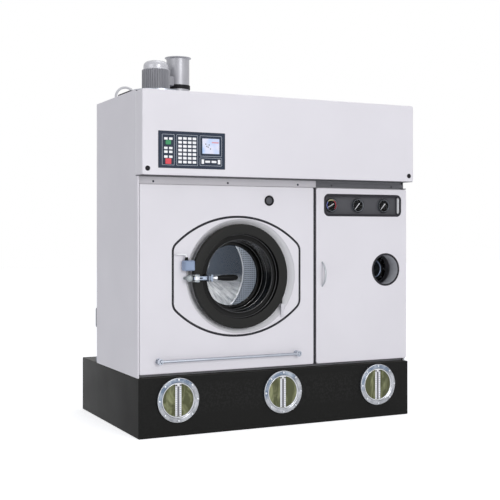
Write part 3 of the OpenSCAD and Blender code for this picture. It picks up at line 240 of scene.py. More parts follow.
def folded_stack(outline, y0, y1, r, side=1, thick=sheet):
    """Loops of a sheet's folded edge: from its face round a bend of radius r back to y1, and
    inside the sheet the same way. side is -1 where the outline is a hole's."""
    bend = quarter()
    outer = [(-r - 0.0008, y0)] + [(-r + r * s, y0 + r * c) for s, c in bend] + [(0, y1)]
    inner_r = r - thick
    inner = [(-r - 0.0008, y0 + thick)]
    inner += [(-r + inner_r * s, y0 + thick + inner_r * c) for s, c in bend] + [(-thick, y1)]
    return np.stack([lift(outline(side * g), y) for g, y in outer + inner[::-1]])


def cut_stack(outline, y0, y1, side=1, e=0.0005):
    """Loops of a sheet's plain cut edge, with e taken off both of its corners."""
    loops = [(-2 * e, y0), (-e, y0), (0, y0 + e), (0, y1 - e), (-e, y1), (-2 * e, y1)]
    return np.stack([lift(outline(side * g), y) for g, y in loops])


def cap(*loops):
    """The flat face between a loop and the holes in it, as triangles."""
    flat = [[Vector((p[0], p[2], 0)) for p in loop] for loop in loops]
    return np.concatenate(loops), np.array(tessellate_polygon(flat))


def skin(outer, holes=(), pockets=()):
    """A closed sheet or body. Every stack of loops is a side of it. The first loops bound its
    front face, and the last ones its back face, but a pocket has a floor of its own."""
    sides = [outer, *holes, *pockets]
    parts = [sheet_of(stack) for stack in sides]
    parts.append(cap(*[stack[0] for stack in sides]))
    parts.append(cap(*[stack[-1] for stack in [outer, *holes]]))
    return parts + [cap(stack[-1]) for stack in pockets]


def solid(stack):
    """One part of a stack of loops with a flat face at each end."""
    loops, cols = len(stack), stack.shape[1]
    points, quads = sheet_of(stack)
    first, last = cap(stack[0])[1], cap(stack[-1])[1] + (loops - 1) * cols
    return points, [*quads.tolist(), *first.tolist(), *last.tolist()]


def put(name, parts, body, slot, stands_for=(), material=None, angle=38):
    """Joins parts into one mesh, merges its doubles, turns its faces outwards, and hangs it on a
    body. Edges sharper than the angle in degrees stay sharp."""
    points, faces, start = [], [], 0
    for verts, polygons in parts:
        points.append(verts)
        faces += [[start + k for k in face] for face in np.asarray(polygons, object).tolist()]
        start += len(verts)
    mesh = bpy.data.meshes.new(name)
    mesh.from_pydata(np.concatenate(points).tolist(), [], faces)
    work = bmesh.new()
    work.from_mesh(mesh)
    bmesh.ops.remove_doubles(work, verts=work.verts, dist=2e-6)
    bmesh.ops.dissolve_degenerate(work, edges=work.edges, dist=1e-6)
    bmesh.ops.recalc_face_normals(work, faces=work.faces)
    work.to_mesh(mesh)
    work.free()
    mesh.polygons.foreach_set("use_smooth", np.ones(len(mesh.polygons), bool))
    mesh.set_sharp_from_angle(angle=math.radians(angle))
    piece = bpy.data.objects.new(name, mesh)
    bpy.context.scene.collection.objects.link(piece)
    mesh.materials.append(material or finishes[slot])
    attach(piece, body)
    if stands_for:
        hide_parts(*stands_for)
    return piece


# ---------- Shader tools and shared effects ----------

def linear(code):
    """A colour written as six hex digits of sRGB, in linear light."""
    c = np.array([int(code[i:i + 2], 16) for i in (0, 2, 4)]) / 255
    return tuple(np.where(c <= 0.04045, c / 12.92, ((c + 0.055) / 1.055) ** 2.4)) + (1.0,)


def add(tree, kind, inputs=None, **settings):
    """A new node with its settings and its sockets' values; a socket given as a value is wired."""
    made = tree.nodes.new(kind)
    for key, value in settings.items():
        setattr(made, key, value)
    for key, value in (inputs or {}).items():
        if isinstance(value, bpy.types.NodeSocket):
            tree.links.new(value, made.inputs[key])
        else:
            made.inputs[key].default_value = value
    return made


def effect(name, inputs, outputs):
    """An empty shader node group with named sockets, and its input and output nodes."""
    tree = bpy.data.node_groups.new(name, "ShaderNodeTree")
    for label, kind, value in inputs:
        tree.interface.new_socket(label, in_out="INPUT", socket_type=kind).default_value = value
    for label, kind in outputs:
        tree.interface.new_socket(label, in_out="OUTPUT", socket_type=kind)
    return tree, tree.nodes.new("NodeGroupInput"), tree.nodes.new("NodeGroupOutput")


FLOAT, COLOUR, VECTOR = "NodeSocketFloat", "NodeSocketColor", "NodeSocketVector"


def make_peel():
    """Orange peel: the fine waves of a sprayed coat, as a normal."""
    tree, given, result = effect("orange_peel", [("Scale", FLOAT, 300.0), ("Height", FLOAT, 0.1)],
                                 [("Normal", VECTOR)])
    place = add(tree, "ShaderNodeTexCoord")
    waves = add(tree, "ShaderNodeTexNoise", {"Vector": place.outputs["Object"],
                                             "Scale": given.outputs["Scale"], "Detail": 1.5})
    bump = add(tree, "ShaderNodeBump", {"Strength": given.outputs["Height"], "Distance": 0.001,
                                        "Height": waves.outputs["Fac"]})
    tree.links.new(bump.outputs["Normal"], result.inputs["Normal"])
    return tree


def make_mottle():
    """Mottle: slow patches and fine specks that darken a colour a little."""
    tree, given, result = effect(
        "mottle", [("Color", COLOUR, (1, 1, 1, 1)), ("Amount", FLOAT, 0.05),
                   ("Scale", FLOAT, 3.0)], [("Color", COLOUR), ("Value", FLOAT)])
    place = add(tree, "ShaderNodeTexCoord")
    slow = add(tree, "ShaderNodeTexNoise", {"Vector": place.outputs["Object"],
                                            "Scale": given.outputs["Scale"], "Detail": 5.0})
    level = add(tree, "ShaderNodeMapRange", {"Value": slow.outputs["Fac"], "From Min": 0.35,
                                             "From Max": 0.65, "To Min": 0.0, "To Max": 1.0})
    share = add(tree, "ShaderNodeMath", {0: level.outputs[0], 1: given.outputs["Amount"]},
                operation="MULTIPLY")
    keep = add(tree, "ShaderNodeMath", {0: 1.0, 1: share.outputs[0]}, operation="SUBTRACT")
    mixed = add(tree, "ShaderNodeVectorMath", {0: given.outputs["Color"], "Scale": keep.outputs[0]},
                operation="SCALE")
    tree.links.new(mixed.outputs[0], result.inputs["Color"])
    tree.links.new(level.outputs[0], result.inputs["Value"])
    return tree


def make_wear():
    """Edge wear: a mask of the convex edges, broken up by noise."""
    tree, given, result = effect("edge_wear", [("Width", FLOAT, 0.52), ("Amount", FLOAT, 0.5)],
                                 [("Mask", FLOAT)])
    shape = add(tree, "ShaderNodeNewGeometry")
    place = add(tree, "ShaderNodeTexCoord")
    chips = add(tree, "ShaderNodeTexNoise", {"Vector": place.outputs["Object"], "Scale": 90.0,
                                             "Detail": 4.0})
    edge = add(tree, "ShaderNodeMapRange", {"Value": shape.outputs["Pointiness"],
                                            "From Min": given.outputs["Width"], "From Max": 0.6})
    broken = add(tree, "ShaderNodeMapRange", {"Value": chips.outputs["Fac"], "From Min": 0.45,
                                              "From Max": 0.6})
    both = add(tree, "ShaderNodeMath", {0: edge.outputs[0], 1: broken.outputs[0]},
               operation="MULTIPLY")
    mask = add(tree, "ShaderNodeMath", {0: both.outputs[0], 1: given.outputs["Amount"]},
               operation="MULTIPLY", use_clamp=True)
    tree.links.new(mask.outputs[0], result.inputs["Mask"])
    return tree


def make_dust():
    """Dust: a mask of the faces that look up, in soft patches."""
    tree, given, result = effect("dust", [("Amount", FLOAT, 0.3)], [("Mask", FLOAT)])
    shape = add(tree, "ShaderNodeNewGeometry")
    up = add(tree, "ShaderNodeSeparateXYZ", {0: shape.outputs["Normal"]})
    place = add(tree, "ShaderNodeTexCoord")
    cloud = add(tree, "ShaderNodeTexNoise", {"Vector": place.outputs["Object"], "Scale": 9.0,
                                             "Detail": 6.0})
    facing = add(tree, "ShaderNodeMapRange", {"Value": up.outputs["Z"], "From Min": 0.5,
                                              "From Max": 1.0})
    patches = add(tree, "ShaderNodeMapRange", {"Value": cloud.outputs["Fac"], "From Min": 0.35,
                                               "From Max": 0.7, "To Min": 0.3})
    both = add(tree, "ShaderNodeMath", {0: facing.outputs[0], 1: patches.outputs[0]},
               operation="MULTIPLY")
    mask = add(tree, "ShaderNodeMath", {0: both.outputs[0], 1: given.outputs["Amount"]},
               operation="MULTIPLY", use_clamp=True)
    tree.links.new(mask.outputs[0], result.inputs["Mask"])
    return tree


def make_brushed():
    """Brush marks: noise drawn out along one axis, as a value and a normal. Stretch holds the
    marks per metre along each axis."""
    tree, given, result = effect("brush_marks", [("Stretch", VECTOR, (4, 900, 900)),
                                                 ("Height", FLOAT, 0.1)],
                                 [("Value", FLOAT), ("Normal", VECTOR)])
    place = add(tree, "ShaderNodeTexCoord")
    drawn = add(tree, "ShaderNodeVectorMath", {0: place.outputs["Object"],
                                               1: given.outputs["Stretch"]}, operation="MULTIPLY")
    marks = add(tree, "ShaderNodeTexNoise", {"Vector": drawn.outputs[0], "Scale": 1.0,
                                             "Detail": 3.0})
    bump = add(tree, "ShaderNodeBump", {"Strength": given.outputs["Height"], "Distance": 0.0005,
                                        "Height": marks.outputs["Fac"]})
    tree.links.new(marks.outputs["Fac"], result.inputs["Value"])
    tree.links.new(bump.outputs["Normal"], result.inputs["Normal"])
    return tree


effects = {"peel": make_peel(), "mottle": make_mottle(), "wear": make_wear(),
           "dust": make_dust(), "brushed": make_brushed()}


def use(tree, name, **inputs):
    """A shared effect placed in a material with its own values."""
    made = tree.nodes.new("ShaderNodeGroup")
    made.node_tree = effects[name]
    for key, value in inputs.items():
        made.inputs[key].default_value = value
    return made


def new_material(name, **sockets):
    """A material with one Principled shader and constants on its sockets."""
    made = bpy.data.materials.new(name)
    made.use_nodes = True
    shader = made.node_tree.nodes["Principled BSDF"]
    for key, value in sockets.items():
        shader.inputs[key.replace("_", " ")].default_value = value
    return made, made.node_tree, shader


def blend_colour(tree, mask, under, over):
    """A colour that goes from under to over where the mask rises."""
    mix = add(tree, "ShaderNodeMix", {0: mask, "A": under, "B": over}, data_type="RGBA")
    return mix.outputs["Result"]


def spread(tree, value, low, high):
    """A value from 0 to 1 spread over another range."""
    made = add(tree, "ShaderNodeMapRange", {"Value": value, "To Min": low, "To Max": high})
    return made.outputs[0]


# ---------- Materials ----------

def painted(name, code, roughness, peel=0.12, patches=0.03, worn="8a8c90", wear=0.0, dust=0.12,
            gloss=0.5):
    """Sprayed paint: orange peel, slow patches, dust on top faces and chips along the edges."""
    made, tree, shader = new_material(name, IOR=1.45, Specular_IOR_Level=gloss)
    base = use(tree, "mottle", Color=linear(code), Amount=patches, Scale=2.2)
    settled = use(tree, "dust", Amount=dust)
    chips = use(tree, "wear", Amount=wear)
    dusty = blend_colour(tree, settled.outputs["Mask"], base.outputs["Color"], linear("b9b6ae"))
    tree.links.new(blend_colour(tree, chips.outputs["Mask"], dusty, linear(worn)),
                   shader.inputs["Base Color"])
    tree.links.new(spread(tree, base.outputs["Value"], roughness - 0.04, roughness + 0.05),
                   shader.inputs["Roughness"])
    coat = use(tree, "peel", Scale=260.0, Height=peel)
    tree.links.new(coat.outputs["Normal"], shader.inputs["Normal"])
    return made


def metal(name, code, roughness, stretch=(6, 6, 700), height=0.12, shift=0.12, metallic=1.0):
    """Steel with brush marks that vary its brightness and roughness a little."""
    made, tree, shader = new_material(name, Metallic=metallic)
    marks = use(tree, "brushed", Stretch=stretch, Height=height)
    base = use(tree, "mottle", Color=linear(code), Amount=0.1, Scale=14.0)
    dark = add(tree, "ShaderNodeVectorMath", {0: base.outputs["Color"],
                                              "Scale": spread(tree, marks.outputs["Value"],
                                                              1 - shift, 1 + shift)},
               operation="SCALE")
    tree.links.new(dark.outputs[0], shader.inputs["Base Color"])
    tree.links.new(spread(tree, marks.outputs["Value"], roughness * 0.8, roughness * 1.25),
                   shader.inputs["Roughness"])
    tree.links.new(marks.outputs["Normal"], shader.inputs["Normal"])
    return made


def moulded(name, code, roughness, gloss=0.5):
    """Moulded plastic or rubber: fine grain in its surface and faint patches in its gloss."""
    made, tree, shader = new_material(name, Specular_IOR_Level=gloss)
    base = use(tree, "mottle", Color=linear(code), Amount=0.08, Scale=25.0)
    tree.links.new(base.outputs["Color"], shader.inputs["Base Color"])
    tree.links.new(spread(tree, base.outputs["Value"], roughness - 0.04, roughness + 0.06),
                   shader.inputs["Roughness"])
    skin_grain = use(tree, "peel", Scale=1400.0, Height=0.08)
    tree.links.new(skin_grain.outputs["Normal"], shader.inputs["Normal"])
    return made


def glazed(name, code, roughness, alpha, coat=1.0):
    """A clear pane: a dark see-through coat that keeps its gloss, and lets light pass to what
    lies behind it."""
    made, tree, shader = new_material(name, Base_Color=linear(code), Alpha=alpha, IOR=1.5,
                                      Coat_Weight=coat, Coat_Roughness=0.02)
    smears = use(tree, "mottle", Color=linear(code), Amount=0.2, Scale=6.0)
    tree.links.new(spread(tree, smears.outputs["Value"], roughness, roughness + 0.05),
                   shader.inputs["Roughness"])
    return made


def solvent_glass():
    """A thick pane with olive solvent behind it, and pale streaks of painted light."""
    made, tree, shader = new_material("solvent_glass", Coat_Weight=0.15, Coat_Roughness=0.03,
                                      IOR=1.45, Roughness=0.18, Specular_IOR_Level=0.25)
    place = add(tree, "ShaderNodeTexCoord")
    drawn = add(tree, "ShaderNodeMapping", {"Vector": place.outputs["Object"],
                                            "Scale": (9.0, 9.0, 4.0)})
    streaks = add(tree, "ShaderNodeTexNoise", {"Vector": drawn.outputs[0], "Scale": 2.0,
                                               "Detail": 3.0, "Distortion": 1.2})
    level = add(tree, "ShaderNodeMapRange", {"Value": streaks.outputs["Fac"], "From Min": 0.48,
                                             "From Max": 0.72})
    # Painted light: the pale streaks stand for light in the solvent.
    colour = blend_colour(tree, level.outputs[0], linear("4f5232"), linear("8f926a"))
    tree.links.new(colour, shader.inputs["Base Color"])
    return made


def make_spun():
    """Spun steel about an axis along Y: streaks that run outwards, brighter where the angle's noise is
    high, and a level that rises downwards, which places a painted highlight. Holes is 1 inside a round hole
    of a 13 mm grid, where painted shade of the perforations goes."""
    pitch, hole_r = 0.013, 0.30
    tree, given, result = effect("spun_steel", [("Centre", VECTOR, (0, 0, 0))],
                                 [("Streaks", FLOAT), ("Low", FLOAT), ("Radius", FLOAT), ("Holes", FLOAT)])
    place = add(tree, "ShaderNodeTexCoord")
    local = add(tree, "ShaderNodeVectorMath", {0: place.outputs["Object"], 1: given.outputs["Centre"]},
                operation="SUBTRACT")
    axes = add(tree, "ShaderNodeSeparateXYZ", {0: local.outputs[0]})
    flat = add(tree, "ShaderNodeCombineXYZ", {"X": axes.outputs["X"], "Z": axes.outputs["Z"]})
    radius = add(tree, "ShaderNodeVectorMath", {0: flat.outputs[0]}, operation="LENGTH").outputs["Value"]
    angle = add(tree, "ShaderNodeMath", {0: axes.outputs["Z"], 1: axes.outputs["X"]}, operation="ARCTAN2")
    wide = add(tree, "ShaderNodeMath", {0: angle.outputs[0], 1: 17.0}, operation="MULTIPLY")
    far = add(tree, "ShaderNodeMath", {0: radius, 1: 14.0}, operation="MULTIPLY")
    polar = add(tree, "ShaderNodeCombineXYZ", {"X": wide.outputs[0], "Y": far.outputs[0]})
    noise = add(tree, "ShaderNodeTexNoise", {"Vector": polar.outputs[0], "Scale": 1.0, "Detail": 4.0})
    low = add(tree, "ShaderNodeMapRange", {"Value": axes.outputs["Z"], "From Min": -0.010,
                                           "From Max": -0.120})
    cells = add(tree, "ShaderNodeVectorMath", {0: flat.outputs[0], "Scale": 1 / pitch}, operation="SCALE")
    part = add(tree, "ShaderNodeVectorMath", {0: cells.outputs[0]}, operation="FRACTION")
    off = add(tree, "ShaderNodeVectorMath", {0: part.outputs[0], 1: (0.5, 0.0, 0.5)},
              operation="DISTANCE")
    hole = add(tree, "ShaderNodeMath", {0: off.outputs["Value"], 1: hole_r}, operation="LESS_THAN")
    for label, value in (("Streaks", noise.outputs["Fac"]), ("Low", low.outputs[0]), ("Radius", radius),
                         ("Holes", hole.outputs[0])):
        tree.links.new(value, result.inputs[label])
    return tree


effects["spun"] = make_spun()


def spun_steel():
    """The drum's rear wall: a dark polished middle, bright streaks low down that are a painted reflection,
    and a paler rim with dark holes that are painted shade of the perforations."""
    made, tree, shader = new_material("drum_back_steel", Metallic=0.35, Roughness=0.35)
    field = use(tree, "spun", Centre=(door_x, 0, door_z))
    streaks = spread(tree, field.outputs["Streaks"], -0.2, 1.5)
    # Painted reflection: the streaks turn white towards the bottom of the wall.
    painted_highlight = add(tree, "ShaderNodeMath", {0: streaks, 1: field.outputs["Low"]}, operation="MULTIPLY",
                use_clamp=True)
    middle = blend_colour(tree, painted_highlight.outputs[0], linear("363e49"), linear("ffffff"))
    edge = add(tree, "ShaderNodeMath", {0: field.outputs["Radius"], 1: 0.303}, operation="GREATER_THAN")
    rim = blend_colour(tree, field.outputs["Holes"], linear("b3b9c1"), linear("4d545e"))
    tree.links.new(blend_colour(tree, edge.outputs[0], middle, rim), shader.inputs["Base Color"])
    return made


def chrome_with_painted_reflection():
    """Chrome of the sight flanges with a painted reflection: blue painted at each ring's upper left, and
    patchy grey below. X is wrapped at half the gap between two rings, so that it counts from each ring's
    middle."""
    made, tree, shader = new_material("flange_chrome", Metallic=0.75, Roughness=0.2)
    place = add(tree, "ShaderNodeTexCoord")
    axes = add(tree, "ShaderNodeSeparateXYZ", {0: place.outputs["Object"]})
    local = add(tree, "ShaderNodeMath", {0: axes.outputs["X"], 1: sight_gap / 2,
                                         2: -sight_gap / 2}, operation="WRAP")
    lift_z = add(tree, "ShaderNodeMath", {0: axes.outputs["Z"], 1: sight_z}, operation="SUBTRACT")
    slant = add(tree, "ShaderNodeMath", {0: local.outputs[0], 1: -0.55, 2: lift_z.outputs[0]},
                operation="MULTIPLY_ADD")
    # Painted reflection: the mask that turns each ring blue at its upper left.
    blue = add(tree, "ShaderNodeMapRange", {"Value": slant.outputs[0], "From Min": 0.015,
                                            "From Max": 0.050})
    cloud = add(tree, "ShaderNodeTexNoise", {"Vector": place.outputs["Object"], "Scale": 22.0,
                                             "Detail": 2.0})
    grey = blend_colour(tree, spread(tree, cloud.outputs["Fac"], -0.6, 1.6), linear("7f8186"),
                        linear("b9bbc0"))
    painted_sky_reflection = blend_colour(tree, spread(tree, cloud.outputs["Fac"], -0.9, 1.6), linear("667487"),
                       linear("a7afb9"))
    tree.links.new(blend_colour(tree, blue.outputs[0], grey, painted_sky_reflection), shader.inputs["Base Color"])
    return made


def surround_paint_with_painted_light():
    """The door surround's paint: the panels' own on its face, and a paler colour in the dish, which is
    painted light that lifts the shade the door ring casts there.
    """
    made = painted("surround_paint_with_painted_light", "e2dfe4", 0.42, peel=0.06, dust=0.1, gloss=0.4)
    tree = made.node_tree
    colour = tree.nodes["Principled BSDF"].inputs["Base Color"]
    place = add(tree, "ShaderNodeTexCoord")
    axes = add(tree, "ShaderNodeSeparateXYZ", {0: place.outputs["Object"]})
    # Painted light: the dish turns paler than the face, to lift the door ring's shade.
    deep = add(tree, "ShaderNodeMapRange", {"Value": axes.outputs["Y"], "From Min": panel_y + 0.001,
                                            "From Max": panel_y + 0.008})
    face = colour.links[0].from_socket
    tree.links.new(blend_colour(tree, deep.outputs[0], face, linear("f8f7fa")), colour)
    return made


def display_face():
    """A lit display: pale blue that runs to white in soft patches."""
    made, tree, shader = new_material("display_face", Roughness=0.2, Coat_Weight=0.5)
    place = add(tree, "ShaderNodeTexCoord")
    cloud = add(tree, "ShaderNodeTexNoise", {"Vector": place.outputs["Object"], "Scale": 14.0,
                                             "Detail": 1.0})
    level = add(tree, "ShaderNodeMapRange", {"Value": cloud.outputs["Fac"], "From Min": 0.35,
                                             "From Max": 0.62})
    colour = blend_colour(tree, level.outputs[0], linear("a4bfe8"), linear("d6d8ea"))
    tree.links.new(colour, shader.inputs["Base Color"])
    tree.links.new(colour, shader.inputs["Emission Color"])
    shader.inputs["Emission Strength"].default_value = 0.12
    return made


finishes = {
    "white_paint": painted("white_paint", "e2dfe4", 0.42, peel=0.06, dust=0.1, gloss=0.4),
    "black_paint": painted("black_paint", "151514", 0.5, peel=0.02, patches=0.05, wear=0.3,
                           worn="363636", gloss=0.13),
    "frame_paint": painted("frame_paint", "7c7c80", 0.5, patches=0.1, wear=0.3),
    "grey_paint": painted("grey_paint", "535357", 0.5, patches=0.06, gloss=0.25),
    "motor_paint": painted("motor_paint", "98989d", 0.38, patches=0.06, wear=0.15),
    "black_casting": painted("black_casting", "171716", 0.5, peel=0.2, patches=0.08, wear=0.15,
                             worn="3a3a38", gloss=0.22),
    "grey_casting": painted("grey_casting", "8d94a0", 0.5, peel=0.3, patches=0.1),
    "polished_steel": metal("polished_steel", "98a0ac", 0.2, (60, 60, 60), 0.02, 0.08),
    "brushed_steel": metal("brushed_steel", "a6abb5", 0.3),
    "zinc_steel": metal("zinc_steel", "c6c9ce", 0.34, (90, 90, 90), 0.05, 0.08),
    "dark_steel": metal("dark_steel", "3a3f4a", 0.35, (90, 90, 90), 0.05, 0.08),
    "black_rubber": moulded("black_rubber", "1e1d20", 0.6, gloss=0.15),
    "black_plastic": moulded("black_plastic", "070809", 0.35, gloss=0.1),
    "white_plastic": moulded("white_plastic", "f4f4f6", 0.35),
    "grey_plastic": moulded("grey_plastic", "c9c9cc", 0.45),
    "slate_plastic": moulded("slate_plastic", "303847", 0.5, gloss=0.15),
    "blue_plastic": moulded("blue_plastic", "8f9fba", 0.4, gloss=0.3),
    "green_plastic": moulded("green_plastic", "2f8f5c", 0.35, gloss=0.3),
    "red_plastic": moulded("red_plastic", "dc4150", 0.35, gloss=0.3),
    "display_panel": display_face(),
    "door_glass": glazed("door_glass", "20262c", 0.03, 0.14),
    "sight_glass": solvent_glass(),
}
dial_glass = glazed("dial_glass", "0c0f12", 0.03, 0.06, 0.2)
gloss_black = moulded("gloss_black", "040404", 0.09, gloss=0.2)
drum_steel = metal("drum_steel", "a9b4c2", 0.33, (190, 3, 5), 0.2, 0.2, 0.55)
drum_back_steel = spun_steel()
rubber_and_gap_shade = moulded("rubber_and_gap_shade", "2d2c31", 0.5, gloss=0.15)
collar_paint = painted("collar_paint", "d6d7dc", 0.5, patches=0.08)
duct_paint = metal("duct_paint", "b0b0b5", 0.36, (300, 300, 6), 0.05, 0.06, 0.3)
cap_paint = metal("cap_paint", "c9c9ce", 0.26, (60, 60, 60), 0.03, 0.05, 0.3)
bright_steel_and_highlight = metal("bright_steel_and_highlight", "dddfe3", 0.22, (90, 90, 90), 0.03, 0.05, 0.5)
lever_steel = metal("lever_steel", "8e98a8", 0.3, (90, 90, 90), 0.03, 0.08, 0.8)
bezel_grey = moulded("bezel_grey", "6f7278", 0.35, gloss=0.3)
keeper_grey = metal("keeper_grey", "9aa0a2", 0.36, (90, 90, 90), 0.03, 0.05, 0.25)
tick_grey = moulded("tick_grey", "8b8b88", 0.4)
flange_chrome = chrome_with_painted_reflection()
white_plastic_and_highlight = moulded("white_plastic_and_highlight", "f6f6f8", 0.35, gloss=0.3)
outline_ink = moulded("outline_ink", "b4bac6", 0.45)
recess_shade_grey = painted("recess_shade_grey", "727277", 0.5, patches=0.06, gloss=0.3)
surround_painted_light = surround_paint_with_painted_light()
bracket_paint = painted("bracket_paint", "d4d2d8", 0.45, patches=0.05, gloss=0.3)
bead_highlight_grey = moulded("bead_highlight_grey", "2a2a2e", 0.16, gloss=0.7)
bar_red = moulded("bar_red", "dc8f97", 0.4)
still_black = moulded("still_black", "1c1e22", 0.4, gloss=0.3)
still_glint = metal("still_glint", "5d687c", 0.36, (90, 90, 90), 0.03, 0.08, 0.5)
handle_steel = metal("handle_steel", "b7bbbf", 0.32, (90, 90, 90), 0.03, 0.05, 0.3)


# ---------- Panels ----------

def surround_outline(g=0.0):
    """The door surround's outline grown by g: four corner arcs about fixed centres, joined by
    straight sides and, at the top and bottom, by arcs of one great circle each."""
    half_w, half_h, side_h, corner, shift = 0.399, 0.338, 0.168, 0.065, 0.012
    rise = half_h - side_h
    arch = (half_w ** 2 + rise ** 2) / (2 * rise)
    mid_x = half_w - corner
    mid_z = half_h - arch + math.sqrt((arch - corner) ** 2 - mid_x ** 2)
    lean = math.asin(mid_x / (arch - corner))
    corner_turn = np.linspace(0, np.pi / 2 - lean, 14)
    arch_turn = np.linspace(np.pi / 2 - lean, np.pi / 2 + lean, 42)[1:-1]
    right = np.stack([mid_x + (corner + g) * np.cos(corner_turn),
                      mid_z + (corner + g) * np.sin(corner_turn)], -1)
    top = np.stack([(arch + g) * np.cos(arch_turn), half_h - arch + (arch + g) * np.sin(arch_turn)], -1)
    left = right[::-1] * (-1, 1)
    upper = np.concatenate([right, top, left])
    return np.concatenate([upper, -upper]) + (door_x - shift, door_z)


def front_panel():
    """The left panel, with the surround's opening and the plug's hole."""
    plug_hole = 0.024
    outline = round_rect(panel_low[0], panel_high[0], panel_low[2], panel_high[2], 0.008)
    put("front_panel_sheet",
        skin(folded_stack(outline, panel_y, frame_y, 0.005),
             [cut_stack(lambda g: surround_outline(0.005 + g), panel_y, panel_y + sheet, -1),
              cut_stack(circle(plug_x, plug_z, plug_hole), panel_y, panel_y + sheet, -1)]),
        "machine", "white_paint", ["front_panel"])


def surround():
    """The dish is an oval funnel: each ring is (a cos t, b sin t), with the half axes a and b
    led by two softened profiles from the face down the slope to the floor and the round mouth,
    and back behind the sheet. The oval's middle lies to the right of the door's by the shift,
    times the share that a has of the way from the mouth to the slope."""
    slope_w, slope_h, floor_r, mouth_r, deep, shift = 0.344, 0.326, 0.282, 0.240, 0.060, 0.012

    def profile(rim):
        floor = floor_r * rim / slope_h
        front = [(rim + 0.0042, 0), (rim, 0), (floor, deep), (mouth_r, deep)]
        back = [(mouth_r, deep + sheet), (floor + sheet, deep + sheet), (rim + sheet, sheet),
                (rim + 0.0042, sheet)]
        return softened(front + back, [0, 0.006, 0.012, 0.0005, 0.0005, 0.012, 0.004, 0], 5, False)
    wide, high = profile(slope_w), profile(slope_h)
    t = np.linspace(0, 2 * np.pi, 144, endpoint=False)
    share = np.clip((wide[:, :1] - mouth_r) / (floor_r - mouth_r), 0, 1)
    dish = np.stack([door_x + shift * share + wide[:, :1] * np.cos(t),
                     panel_y + (wide[:, 1:] + high[:, 1:]) / 2 + 0 * t,
                     door_z + high[:, :1] * np.sin(t)], -1)
    put("door_surround_sheet",
        skin(cut_stack(lambda g: surround_outline(-0.005 + g), panel_y, panel_y + sheet), [dish]),
        "machine", "white_paint", ["door_surround"], surround_painted_light)


def seam_bead():
    """Rubber profile in the seam: a half round in front of the sheets and another behind."""
    a = np.linspace(0, 2 * np.pi, 20, endpoint=False)
    across, depth = 0.0068 * np.sign(np.cos(a)) * np.abs(np.cos(a)) ** 0.7, 0.003 * np.sin(a)
    loops = np.stack([lift(surround_outline(g), panel_y + sheet / 2 + d)
                      for g, d in zip(across, depth)])
    put("surround_seam", [sheet_of(loops, wrap_rows=True)], "machine", "black_rubber",
        ["surround_seal"], rubber_and_gap_shade)


def header():
    low, high = header_low, header_high
    outline = round_rect(low[0], high[0], low[2], high[2], 0.012)
    control_low, control_high = corners("control_panel")
    opening = round_rect(control_low[0] + 0.012, control_high[0] - 0.012,
                         control_low[2] + 0.012, control_high[2] - 0.012, 0.006)
    put("header_sheet",
        skin(folded_stack(outline, low[1], high[1] - 0.0075, 0.006),
             [cut_stack(opening, low[1], low[1] + sheet, -1)]),
        "machine", "white_paint", ["header_shell"])
    # Whiter strips at the header's rear edges: a painted highlight where the side panels' folds catch the
    # light.
    edges = [block((x0, high[1] - 0.0065, low[2] + 0.002),
                   (x0 + 0.006, high[1] - 0.0005, high[2] - 0.004))
             for x0 in (low[0] + 0.0001, high[0] - 0.0061)]
    put("header_rear_highlight_strips", edges, "machine", "white_paint", (), white_plastic_and_highlight)
    # A dark grey strip along the header's underside: painted shade of the overhang.
    underside_shade = block((low[0] + 0.004, low[1] + 0.003, low[2] - 0.0014),
                      (high[0] - 0.004, high[1], low[2] + 0.001), 0.0012)
    put("header_underside_shade", [underside_shade], "machine", "black_rubber", (), finishes["grey_paint"])


window = round_rect(0.294, 0.835, 1.226, 1.350, 0.028, 14)


def door_gap_shade():
    """A dark strip in the gap between the left panel and the service door: painted shade of the gap."""
    gap_strip = block((panel_high[0] + 0.0012, panel_y + 0.004, service_low[2]),
                 (service_low[0] - 0.0012, frame_y, service_high[2]), 0.002)
    put("door_gap_shade_strip", [gap_strip], "machine", "black_rubber", (), rubber_and_gap_shade)


def side_sheets():
    """Each sheet's section in plan is a strip with a round fold at the front, carried upwards;
    the fold's outer corner follows a quarter circle."""
    fold = 0.005
    bend = np.linspace(0, np.pi / 2, 7)
    left_low, left_high = corners("left_side_panel")
    right_low, right_high = corners("right_side_panel")
    strip_low = np.array([left_low[0], panel_y + 0.001, left_low[2]])
    strip_high = np.array([left_high[0], left_low[1] - 0.0002, header_low[2] - 0.003])
    for side, name, low, high, lip in ((-1, "left_side_panel", left_low, left_high, 0.020),
                                       (1, "right_side_panel", right_low, right_high, 0.020),
                                       (-1, "left_corner", strip_low, strip_high, 0.0085)):
        out, y0, y1 = side * 0.88, low[1], high[1]
        back = np.stack([fold - fold * np.cos(bend), fold - fold * np.sin(bend)], -1)
        outer = np.concatenate([[(lip, 0)], back[::-1], [(0, y1 - y0)]])
        inner = np.concatenate([[(sheet, y1 - y0)],
                                [(sheet, fold)], [(fold, sheet)], [(lip, sheet)]])
        plan = np.concatenate([outer, inner])
        plan = np.stack([out - side * plan[:, 0], y0 + plan[:, 1]], -1)
        heights = np.array([low[2], high[2]])
        loops = np.stack([np.concatenate([plan, np.full((len(plan), 1), z)], 1) for z in heights])
        points, quads = sheet_of(loops)
        flat = [[Vector((x, y, 0)) for x, y in plan]]
        ends = np.array(tessellate_polygon(flat))
        faces = [*quads.tolist(), *ends.tolist(), *(ends + len(plan)).tolist()]
        put(name + "_sheet", [(points, faces)], "machine", "white_paint",
            [name] if name in frame["nodes"] else ())


